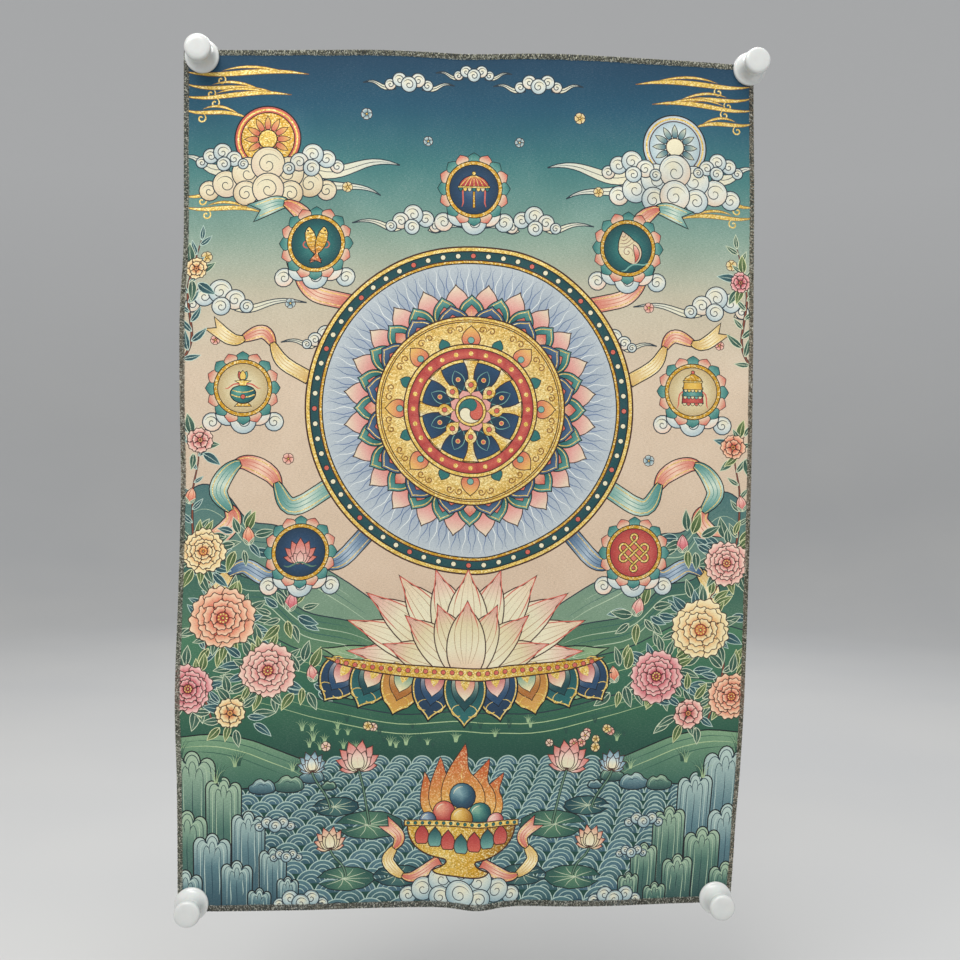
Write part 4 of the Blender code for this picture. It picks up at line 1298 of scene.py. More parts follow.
def gardens():
    pink, coral, cream, rose = PEONY_PINK, PEONY_CORAL, PEONY_CREAM, PEONY_ROSE
    L, B, W = LEAFY, LEAFY_BLUE, LEAFY_WARM
    for flip in (False, True):
        T = Place(MID, 0, flip=flip)
        vine = smooth(P((262, 700), (276, 640), (258, 580), (284, 520), (288, 460), (282, 420), (292, 396)), 8)
        upper = smooth(P((306, 334), (288, 300), (293, 246), (282, 196)), 8)
        for path, n, seed in ((vine, 20, 3), (upper, 13, 8)):
            sprig(T, path, n, 19, palette=(L, B)[flip], seed=seed + flip, width=2.6, spread=52, veins=1)
    rnd = random.Random(6)
    for x0, leaves in ((0, (L, B, L, W)), (1, (B, L, W, L))):
        T = Place(MID, 0, flip=x0 == 0)
        foliage(T, ((250, 596, 46, 30), (212, 648, 44, 27), (280, 524, 34, 20), (284, 664, 38, 20), (186, 586, 26, 12),
                    (168, 656, 30, 12), (236, 508, 24, 11), (240, 690, 34, 14), (288, 410, 20, 8), (290, 232, 17, 7)), 20.0,
                leaves, seed=20 + x0)
    left = ((46, 590, 33, coral), (94, 646, 29, pink), (24, 520, 23, cream), (116, 574, 10.5, rose), (13, 664, 25, rose),
            (70, 504, 10, coral), (140, 650, 9.5, pink), (56, 690, 16, cream))
    right = ((550, 604, 32, cream), (504, 654, 28, rose), (576, 532, 24, pink), (482, 580, 10.5, pink), (586, 676, 25, coral),
             (528, 512, 10, rose), (458, 652, 9.5, coral), (540, 694, 16, pink))
    for k, (x, y, r, cols) in enumerate(left + right):
        c = PAGE.at(x, y)
        if r < 12:
            bud(c.at(turn=(k * 53) % 60 - 30), r, cols)
        else:
            peony(c, r, cols, seed=11 + k, rich=r > 18)
    for x, y, r, cols in ((20, 404, 13, pink), (580, 408, 13, coral), (14, 226, 11, cream), (586, 232, 11, rose),
                          (10, 462, 9, coral), (590, 468, 9, pink)):
        if r > 10:
            peony(PAGE.at(x, y), r, cols, seed=int(x), rich=False)
        else:
            bud(PAGE.at(x, y, 12 if x < 300 else -12), r, cols)


def stones(T, items, seed=0):
    """Low rounded stones with light upper rims."""
    for x, y, w, h, cols in items:
        q = stretch(T.at(x, y), w, h)
        lobes = P((-1, 0.2), (-0.86, -0.5), (-0.5, -0.86), (-0.2, -0.72), (0.1, -1.0), (0.5, -0.8), (0.7, -0.45),
                  (0.98, -0.2), (0.94, 0.35), (0.5, 0.6), (0, 0.66), (-0.6, 0.56))
        ring = smooth(lobes, 4, closed=True)
        ART.shape(q(ring), q.fade((0, -1), (0, 0.7), *cols), INK, 1.0)
        ART.line(q(ring[:28] * 0.78 + (0.0, 0.04)), 0.8, cols[0], taper=(0.3, 0.3))
        ART.line(q(ring[4:24] * 0.5 + (0.0, 0.06)), 0.7, cols[-1], taper=(0.3, 0.3))


def pond():
    sea(-4, 604, 748, 906, 14.5, seed=2)
    blue = ((178, 204, 206), (86, 126, 142), (36, 70, 90))
    green = ((162, 192, 170), (72, 116, 108), (30, 66, 72))
    for flip in (False, True):
        T = Place(MID, 0, flip=flip)
        one, two = (blue, green) if flip else (green, blue)
        top = smooth(P((306, 716), (262, 712), (226, 718), (196, 730), (168, 742), (150, 756)), 6)
        foot = P((168, 764), (210, 768), (250, 772), (306, 776))
        ART.shape(T(np.vstack([top, foot])), T.fade((0, 712), (0, 772), (124, 166, 132), (48, 98, 88)), INK, 1.2)
        for k in range(1, 4):
            ART.line(T((top + (4 * k, 6.2 * k))[2:-4]), 0.8, ((176, 204, 160), (50, 98, 86))[k % 2], taper=(0.2, 0.2))
        stones(T, ((160, 760, 13, 9, one), (184, 768, 16, 11, two), (212, 770, 14, 10, one), (142, 770, 8, 6, two)))
        boulders(T, ((284, 738, 46, 905), (252, 764, 36, 905), (290, 800, 40, 905)), two, seed=3 + flip)
        boulders(T, ((226, 800, 34, 906), (264, 824, 38, 906), (200, 838, 28, 906), (238, 852, 32, 906), (292, 862, 34, 906),
                     (184, 868, 22, 906), (214, 880, 24, 906)),
                 one, seed=9 + flip)
        for x, y, h in ((256, 763, 24), (296, 737, 26), (236, 746, 20), (176, 752, 16)):
            tuft(T.at(x, y), h, 6, (36, 78, 68), None)
            tuft(T.at(x + 4, y + 1), h * 0.8, 4, (162, 192, 148), None)
        for x, y, size in ((170, 890, 0.86), (198, 808, 0.62), (140, 902, 0.7), (186, 842, 0.5)):
            cloud(T.at(x, y, size=size), SMALL_CLOUD, cols=(CREAM_LIGHT, (190, 210, 220), (116, 156, 180)), width=1.0)
        for x, y, r, cols in ((98, 812, 35, ((92, 140, 110), (40, 88, 82))), (134, 792, 24, ((78, 124, 120), (30, 72, 84))),
                              (66, 866, 27, ((78, 124, 120), (30, 72, 84))), (122, 868, 30, ((92, 140, 110), (40, 88, 82)))):
            lotus_pad(T.at(x, y), r, cols)
        for x0, y0, x1, y1, r, cols in (
                (98, 812, 112, 742, 27, (CREAM_LIGHT, PINK_LIGHT, PINK, CORAL)),
                (140, 794, 160, 746, 18, (CREAM_LIGHT, (206, 222, 232), (150, 184, 208), SKY_BLUE)),
                (122, 866, 140, 828, 20, (CREAM_LIGHT, CREAM, PEACH, CORAL))):
            stem = bez((x0, y0), (x0 + 4, y0 - 20), (x1 - 6, y1 + 24), (x1, y1 + 8), 8)
            ART.line(T(stem), 2.6, INK)
            ART.line(T(stem), 1.3, LEAF_MID)
            side_lotus(T.at(x1, y1, 6), r, cols)
    T = PAGE.at(MID, 816)
    for flip in (False, True):
        q = T.at(flip=flip)
        scarf(q, smooth(P((22, 34), (54, 52), (78, 34), (66, 10), (84, -8)), 8), 13,
              ((246, 214, 194), (206, 96, 82)), ((250, 240, 208), (214, 172, 96)), cuts=(0.36, 0.7))
    cloud(T.at(0, 62, size=1.06), BIG_CLOUD, cols=(CREAM_LIGHT, (206, 220, 224), (132, 168, 190)))
    for a, h in ((-44, 54), (44, 54), (-24, 68), (24, 68), (0, 82)):
        flame(T.at(a * 0.5, -10, a * 0.5), h)
    for x, y, r, cols in ((0, -36, 14, ((206, 232, 240), SKY_BLUE, NAVY)), (-19, -18, 12, ((250, 214, 180), CORAL, CRIMSON)),
                          (19, -18, 12, ((196, 226, 190), TEAL, TEAL_DARK)), (0, -12, 12, ((255, 240, 200), GOLD, GOLD_DARK)),
                          (-36, -9, 9, ((206, 232, 240), PERI_DARK, NAVY)), (36, -9, 9, ((250, 224, 220), PINK, CRIMSON))):
        jewel(T.at(x, y), r, cols)
    bowl = join(bez((0, 50), (24, 50), (28, 48), (30, 44), 5), bez((30, 44), (12, 38), (14, 33), (18, 32), 5),
                bez((18, 32), (48, 28), (58, 12), (58, -6), 10), P((58, -6), (0, -6)))
    ART.shape(T(both(bowl)), T.fade((-58, 0), (58, 0), (0, GOLD), (0.3, GOLD_LIGHT), (0.65, GOLD), (1, GOLD_DARK)), BROWN_INK, 1.4, gold=1.0, seed=12)
    for k in range(7):
        q = T.at(-42 + 14 * k, 25 - abs(k - 3) * 3.0)
        ART.shape(q(both(ogee(15, 21))), q.fade((0, 0), (0, -21), *((CORAL, CRIMSON), (TURQUOISE, TEAL_DARK))[k % 2]), BROWN_INK, 0.9)
    ART.shape(T(rect(-61, -9, 61, -3)), GOLD_LIGHT, BROWN_INK, 1.0, gold=1.0)
    beads(T(P((-57, -6), (57, -6))), 1.8, 7.6, TEAL, INK, gold=0.0)


def meadow_detail():
    rnd = random.Random(12)
    for k in range(44):
        x = rnd.uniform(128, 472)
        y = rnd.uniform(702, 734)
        tuft(PAGE.at(x, y), rnd.uniform(8, 15), 5, (34, 78, 70) if k % 2 else (156, 190, 146))
    for k in range(12):
        x = rnd.choice((rnd.uniform(140, 232), rnd.uniform(368, 460)))
        blossom(x, rnd.uniform(706, 730), rnd.uniform(4.2, 5.6), ((PINK_LIGHT, CORAL), (CREAM_LIGHT, GOLD), (CREAM_LIGHT, PINK))[k % 3],
                turn=rnd.uniform(0, 72))

background()
sky_clouds()
medallion()
meadow_detail()
pond()
gardens()
lotus_seat()
ring_of_signs()
# ---- end of the design ----


# =============================================================================
# From the design to the cloth
# =============================================================================
BACK_LIFT, FRONT_LIFT = 0.35, 1.0       # mm from the wall side of the solid
DESIGN_TOLERANCE = 0.105                 # mm
BACK_CELL = 5.6                          # mm


def clip_edges(a, b):
    """Cut edges to the panel's rectangle."""
    d = b - a
    t0, t1 = np.zeros(len(a)), np.ones(len(a))
    for k, far in ((0, PANEL_WIDTH), (1, PANEL_HEIGHT)):
        level = np.abs(d[:, k]) < 1e-9
        step = np.where(level, 1.0, d[:, k])
        ta, tb = -a[:, k] / step, (far - a[:, k]) / step
        t0 = np.where(level, t0, np.maximum(t0, np.minimum(ta, tb)))
        t1 = np.where(level, t1, np.minimum(t1, np.maximum(ta, tb)))
        t1[level & ((a[:, k] < 0) | (a[:, k] > far))] = -1.0
    keep = t1 - t0 > 1e-6
    return (a + d * t0[:, None])[keep], (a + d * t1[:, None])[keep], keep


def split_long(a, b, owner, longest=7.0):
    n = np.maximum(1, np.ceil(np.hypot(*(b - a).T) / longest).astype(int))
    k = np.repeat(np.arange(len(a)), n)
    j = np.arange(len(k)) - np.repeat(np.cumsum(n) - n, n)
    t0, t1 = (j / n[k])[:, None], ((j + 1) / n[k])[:, None]
    return a[k] + (b - a)[k] * t0, a[k] + (b - a)[k] * t1, owner[k]


def thin_seeds(points, taken, cell):
    """Keep one seed a cell, and none where a point lies already."""
    def code(q):
        return (q[:, 0] / cell).astype(int) * 4096 + (q[:, 1] / cell).astype(int)
    busy = np.unique(code(taken))
    c = code(points)
    free = ~np.isin(c, busy)
    points, c = points[free], c[free]
    _, first = np.unique(c, return_index=True)
    return points[np.sort(first)]


def cdt(points, edges, eps):
    out = delaunay_2d_cdt([Vector(p) for p in points.tolist()], edges.tolist(), [], 0, eps, False)
    return np.array([tuple(p) for p in out[0]]), np.array(out[2])


def mesh_edges(points, edges):
    """Points on a 0.01 mm grid, merged, with the edges between them."""
    pts, back = np.unique(np.round(points, 2) + 0.0, axis=0, return_inverse=True)
    e = back.ravel()[edges]
    return pts, np.unique(np.sort(e[e[:, 0] != e[:, 1]], axis=1), axis=0)


def chains_of(lines, count):
    """Runs of edges between places where more or fewer than two meet."""
    meet = np.bincount(lines.ravel(), minlength=count)
    at = [[] for _ in range(count)]
    for k, (i, j) in enumerate(lines.tolist()):
        at[i].append((k, j))
        at[j].append((k, i))
    used = np.zeros(len(lines), bool)
    runs = []

    def follow(start, k, nxt):
        run = [start, nxt]
        used[k] = True
        while meet[run[-1]] == 2:
            step = next(((m, j) for m, j in at[run[-1]] if not used[m]), None)
            if step is None:
                break
            used[step[0]] = True
            run.append(step[1])
        return run

    for start in np.flatnonzero((meet > 0) & (meet != 2)).tolist():
        for k, j in at[start]:
            if not used[k]:
                runs.append(follow(start, k, j))
    for k, (i, j) in enumerate(lines.tolist()):
        if not used[k]:
            runs.append(follow(i, k, j))
    return runs


def triangulate_design(tol):
    a, b = np.vstack(ART.edge_a), np.vstack(ART.edge_b)
    owner = np.concatenate(ART.edge_owner)
    a, b, keep = clip_edges(a, b)
    a, b, owner = split_long(a, b, owner[keep])
    hidden = np.ones(len(a), bool)
    for t in (0.04, 0.5, 0.96):
        idx = np.flatnonzero(hidden)
        top = ART.topmost(a[idx] * (1 - t) + b[idx] * t)
        hidden[idx[top <= owner[idx]]] = False
    a, b = a[~hidden], b[~hidden]
    w, h, n = PANEL_WIDTH, PANEL_HEIGHT, len(a)
    border = np.array([(x, 0) for x in np.arange(0, w, 5.0)] + [(w, y) for y in np.arange(0, h, 5.0)]
                      + [(x, h) for x in np.arange(w, 0, -5.0)] + [(0, y) for y in np.arange(h, 0, -5.0)])
    ring = np.stack([np.arange(len(border)), (np.arange(len(border)) + 1) % len(border)], 1)
    pts, e = mesh_edges(np.vstack([a, b, border]),
                        np.vstack([np.stack([np.arange(n), np.arange(n) + n], 1), ring + 2 * n]))
    v, f = cdt(pts, e, 0.02)
    # keep only the edges across which the cloth looks different
    top = ART.topmost(v[f].mean(1))
    look = np.append(np.array(ART.look), -1)[top]
    e = np.sort(np.vstack([f[:, [0, 1]], f[:, [1, 2]], f[:, [2, 0]]]), axis=1)
    face = np.tile(np.arange(len(f)), 3)
    order = np.lexsort((e[:, 1], e[:, 0]))
    e, face = e[order], face[order]
    twin = np.flatnonzero((e[1:] == e[:-1]).all(1))
    lines = e[twin[look[face[twin]] != look[face[twin + 1]]]]
    points, edges, count = [], [], 0
    for run in chains_of(lines, len(v)):
        p = v[run]
        loop = run[0] == run[-1]
        p = thin_ring(p[:-1], tol) if loop else thin_out(p, tol)
        m = len(p)
        if loop and m < 3:
            continue
        k = np.arange(count, count + m)
        edges.append(np.stack([k, np.roll(k, -1)], 1)[:m if loop else m - 1])
        points.append(p)
        count += m
    # no vertex off the panel's outline, and the outline's own edges
    points = np.vstack(points + [border])
    edges = np.vstack(edges + [ring + count])
    points = np.clip(points, 0.0, (w, h))
    # a long edge would bridge the folds, so it is cut to lengths that follow them
    a, b, _ = split_long(points[edges[:, 0]], points[edges[:, 1]], np.zeros(len(edges)), 9.0)
    k = np.arange(len(a))
    pts, e = mesh_edges(np.vstack([a, b]), np.stack([k, k + len(a)], 1))
    gx, gy = np.meshgrid(np.arange(6.0, w, 12.0), np.arange(6.0, h, 12.0))
    grid = np.stack([gx.ravel() + 3.0 * ((gy.ravel() / 12).astype(int) % 2), gy.ravel()], 1)
    seeds = np.vstack(ART.seeds + [grid])
    near = (seeds > 1.0).all(1) & (seeds[:, 0] < w - 1) & (seeds[:, 1] < h - 1)
    seeds = thin_seeds(seeds[near], pts, 7.0)
    first = len(v)
    v, f = cdt(np.vstack([pts, seeds]), e, 0.03)
    print(f"design: {len(ART.polys)} shapes, {n} edges that show, {first} then {len(v)} points, {len(f)} triangles, "
          f"{time.time() - STARTED:.1f} s")
    return v, f


def to_linear(c):
    c = np.clip(np.asarray(c, float) / 255.0, 0, 1)
    return np.where(c <= 0.04045, c / 12.92, ((c + 0.055) / 1.055) ** 2.4)


def colours_at(q, owner):
    """sRGB colour of each point q as painted by its shape."""
    out = np.zeros((len(q), 3))
    order = np.argsort(owner, kind="stable")
    cuts = np.searchsorted(owner[order], np.arange(len(ART.polys) + 1))
    for k in range(len(ART.polys)):
        idx = order[cuts[k]:cuts[k + 1]]
        if len(idx):
            out[idx] = ART.paints[k].at(q[idx])
    return out


def build_cloth():
    v, f = triangulate_design(DESIGN_TOLERANCE)
    v[:, 0] = np.clip(v[:, 0], 0, PANEL_WIDTH)
    v[:, 1] = np.clip(v[:, 1], 0, PANEL_HEIGHT)
    p = v[f]
    area = ((p[:, 1, 0] - p[:, 0, 0]) * (p[:, 2, 1] - p[:, 0, 1])
            - (p[:, 1, 1] - p[:, 0, 1]) * (p[:, 2, 0] - p[:, 0, 0]))
    f = np.where((area > 0)[:, None], f[:, ::-1], f)      # outward is towards the viewer
    p = v[f]
    middle = p.mean(1)
    owner = ART.topmost(middle)
    owner[owner < 0] = 0
    corner = p.reshape(-1, 2)
    corner_owner = np.repeat(owner, 3)
    # a shade reads a little inside its own triangle, so that edges stay crisp
    front_rgb = colours_at(corner * 0.9 + np.repeat(middle, 3, 0) * 0.1, corner_owner)
    gild = np.array(ART.gild)[corner_owner]
    raised = np.array(ART.raised)[corner_owner]

    # the back: the same outline, a coarser mesh, and the floats' mixed colours
    w, h = PANEL_WIDTH, PANEL_HEIGHT
    on_x0, on_x1 = v[:, 0] < 1e-3, v[:, 0] > w - 1e-3
    on_y0, on_y1 = v[:, 1] < 1e-3, v[:, 1] > h - 1e-3
    rim_idx = np.flatnonzero(on_x0 | on_x1 | on_y0 | on_y1)
    q = v[rim_idx]
    run = np.where(q[:, 1] < 1e-3, q[:, 0],
                   np.where(q[:, 0] > w - 1e-3, w + q[:, 1],
                            np.where(q[:, 1] > h - 1e-3, 2 * w + h - q[:, 0], 2 * (w + h) - q[:, 1])))
    run[(q[:, 0] < 1e-3) & (q[:, 1] < 1e-3)] = 0.0
    rim = rim_idx[np.argsort(run)]
    ring = v[rim]
    gx, gy = np.meshgrid(np.arange(BACK_CELL / 2, w - 2, BACK_CELL), np.arange(BACK_CELL / 2, h - 2, BACK_CELL))
    inner = np.stack([gx.ravel(), gy.ravel()], 1)
    bv_in = np.vstack([ring, inner])
    m = len(ring)
    out = delaunay_2d_cdt([Vector(t) for t in bv_in.tolist()],
                          [(k, (k + 1) % m) for k in range(m)], [], 0, 0.001, True)
    bv = np.array([tuple(t) for t in out[0]])
    bf = np.array(out[2])
    origin = {}
    for new, olds in enumerate(out[3]):
        for o in olds:
            origin[o] = new
    ring_back = np.array([origin[k] for k in range(m)])
    bp = bv[bf]
    barea = ((bp[:, 1, 0] - bp[:, 0, 0]) * (bp[:, 2, 1] - bp[:, 0, 1])
             - (bp[:, 1, 1] - bp[:, 0, 1]) * (bp[:, 2, 0] - bp[:, 0, 0]))
    bf = np.where((barea < 0)[:, None], bf[:, ::-1], bf)
    # each place shows the mean of the colours round it, longer along the wefts
    fine = 2.5
    nx, ny = int(w / fine), int(h / fine)
    sx, sy = np.meshgrid((np.arange(nx) + 0.5) * fine, (np.arange(ny) + 0.5) * fine)
    at = np.stack([sx.ravel(), sy.ravel()], 1)
    top = ART.topmost(at)
    top[top < 0] = 0
    grid = colours_at(at, top).reshape(ny, nx, 3)
    for axis, spread in ((1, 1.9), (0, 1.15)):
        reach = int(3 * spread) + 1
        bell = np.exp(-0.5 * (np.arange(-reach, reach + 1) / spread) ** 2)
        bell /= bell.sum()
        pad = [(reach, reach) if k == axis else (0, 0) for k in range(3)]
        wide = np.pad(grid, pad, mode="edge")
        grid = sum(bell[k] * np.take(wide, np.arange(k, k + grid.shape[axis]), axis=axis) for k in range(2 * reach + 1))
    fx = np.clip(bv[:, 0] / fine - 0.5, 0, nx - 1.001)
    fy = np.clip(bv[:, 1] / fine - 0.5, 0, ny - 1.001)
    ix, iy = fx.astype(int), fy.astype(int)
    tx, ty = (fx - ix)[:, None], (fy - iy)[:, None]
    soft = ((grid[iy, ix] * (1 - tx) + grid[iy, ix + 1] * tx) * (1 - ty)
            + (grid[iy + 1, ix] * (1 - tx) + grid[iy + 1, ix + 1] * tx) * ty)
    grey = soft.mean(1, keepdims=True)
    back_rgb = soft * 0.66 + grey * 0.18 + np.array([150, 134, 116]) * 0.16

    nf = len(v)
    verts = np.vstack([hang(v, FRONT_LIFT), hang(bv, BACK_LIFT)])
    rb = ring_back + nf
    nxt, rb2 = np.roll(rim, -1), np.roll(rb, -1)
    side = np.vstack([np.stack([rim, nxt, rb], 1), np.stack([nxt, rb2, rb], 1)])
    faces = np.vstack([f, bf + nf, side])
    flat_pts = np.vstack([v, bv])

    mesh = bpy.data.meshes.new("woven_panel")
    mesh.vertices.add(len(verts))
    mesh.vertices.foreach_set("co", verts.ravel())
    mesh.loops.add(faces.size)
    mesh.loops.foreach_set("vertex_index", faces.ravel().astype(np.int32))
    mesh.polygons.add(len(faces))
    mesh.polygons.foreach_set("loop_start", np.arange(0, faces.size, 3, dtype=np.int32))
    mesh.polygons.foreach_set("loop_total", np.full(len(faces), 3, dtype=np.int32))
    mesh.update(calc_edges=True)

    loops = faces.ravel()
    rgb = np.vstack([front_rgb, back_rgb[bf.ravel()], np.full((side.size, 3), 110.0)])
    # the silk is ivory, so every dyed colour is a little muted and leans that way
    metal = np.concatenate([gild, np.zeros(len(loops) - len(gild))])[:, None]
    rgb = rgb + (rgb.mean(1, keepdims=True) - rgb) * 0.05 * (1 - metal)
    rgb = rgb * (np.array([1.0, 0.988, 0.935]) * (1 - metal) + np.array([0.99, 0.985, 1.0]) * metal)
    rgba = np.ones((len(loops), 4))
    rgba[:, :3] = to_linear(rgb)
    mesh.color_attributes.new("Thread", "FLOAT_COLOR", "CORNER").data.foreach_set("color", rgba.ravel())
    behind = len(loops) - len(gild)
    for name, values in (("Gold", np.concatenate([gild, np.zeros(behind)])),
                         ("Raised", np.concatenate([raised, np.zeros(behind)])),
                         ("Back", np.concatenate([np.zeros(len(gild)), np.ones(behind)]))):
        mesh.attributes.new(name, "FLOAT", "CORNER").data.foreach_set("value", values)
    flat3 = np.zeros((len(flat_pts), 3))
    flat3[:, 0], flat3[:, 1] = flat_pts[:, 0], flat_pts[:, 1]
    flat3[nf:, 2] = 40.0
    mesh.attributes.new("Flat", "FLOAT_VECTOR", "POINT").data.foreach_set("vector", flat3.ravel())
    uv = np.zeros((len(loops), 2))
    at = flat_pts[loops]
    is_front = np.arange(len(loops)) < f.size
    uv[:, 0] = np.where(is_front, 0.004 + 0.655 * at[:, 0] / w, 0.990 - 0.32 * at[:, 0] / w)
    uv[:, 1] = np.where(is_front, 0.996 - 0.9825 * at[:, 1] / h, 0.990 - 0.48 * at[:, 1] / h)
    first_side = f.size + bf.size
    s = np.arange(first_side, len(loops))
    u_run = np.searchsorted(np.arange(m), np.arange(m)) / m
    rank = np.full(len(verts), 0.0)
    rank[rim] = np.arange(m) / m
    rank[rb] = np.arange(m) / m
    row = np.zeros(len(verts))
    row[rb] = 1.0
    # the thin side wall lies on short rows of its own, below the back's island
    rk = rank[loops[s]].reshape(-1, 3)
    wrap = (rk.max(1) - rk.min(1)) > 0.5
    rk[wrap] = np.where(rk[wrap] < 0.5, rk[wrap] + 1.0, rk[wrap])
    uv[s, 0] = 0.68 + 0.30 * rk.ravel() / 1.01
    uv[s, 1] = 0.40 + 0.004 * row[loops[s]]
    mesh.uv_layers.new(name="OFBake").data.foreach_set("uv", uv.ravel())

    normals = np.vstack([hang_normals(v), -hang_normals(bv)])
    mesh.normals_split_custom_set_from_vertices(normals.tolist())
    obj = bpy.data.objects.new("woven_panel", mesh)
    bpy.context.scene.collection.objects.link(obj)
    print(f"cloth: {len(f)} front, {len(bf)} back, {len(side)} edge triangles, {time.time() - STARTED:.1f} s")
    return obj


# =============================================================================
# Materials
# =============================================================================
class Shade:
    """A node material, built one node at a time."""

    def __init__(self, name):
        self.mat = bpy.data.materials.new(name)
        self.mat.use_nodes = True
        self.tree = self.mat.node_tree
        self.bsdf = next(n for n in self.tree.nodes if n.type == "BSDF_PRINCIPLED")

    def put(self, kind, at=None, **inputs):
        node = self.tree.nodes.new(kind)
        for key, value in (at or {}).items():
            setattr(node, key, value)
        for key, value in inputs.items():
            socket = node.inputs[int(key[1:])] if key[0] == "i" and key[1:].isdigit() else node.inputs[key.replace("_", " ")]
            self.feed(socket, value)
        return node

    def feed(self, socket, value):
        if isinstance(value, bpy.types.NodeSocket):
            self.tree.links.new(value, socket)
        else:
            socket.default_value = value

    def math(self, op, a, b=0.0, c=None):
        n = self.put("ShaderNodeMath", {"operation": op}, i0=a, i1=b)
        if c is not None:
            self.feed(n.inputs[2], c)
        return n.outputs[0]

    def mix(self, f, a, b, kind="MIX"):
        n = self.tree.nodes.new("ShaderNodeMix")
        n.data_type = "RGBA"
        n.blend_type = kind
        n.clamp_factor = True
        self.feed(n.inputs[0], f)
        self.feed(n.inputs[6], a)
        self.feed(n.inputs[7], b)
        return n.outputs[2]

    def scale(self, vector, x, y, z=1.0):
        return self.put("ShaderNodeVectorMath", {"operation": "MULTIPLY"}, i0=vector, i1=(x, y, z)).outputs[0]

    def noise(self, vector, size, detail=2.0, rough=0.5):
        return self.put("ShaderNodeTexNoise", Vector=vector, Scale=size, Detail=detail, Roughness=rough).outputs[0]

    def span(self, value, a, b, c, d):
        return self.put("ShaderNodeMapRange", i0=value, i1=a, i2=b, i3=c, i4=d).outputs[0]

    def attribute(self, name, output):
        n = self.tree.nodes.new("ShaderNodeAttribute")
        n.attribute_name = name
        return n.outputs[output]

    def bump(self, height, distance, strength=1.0, normal=None):
        n = self.put("ShaderNodeBump", Height=height, Distance=distance, Strength=strength)
        if normal is not None:
            self.feed(n.inputs["Normal"], normal)
        return n.outputs[0]


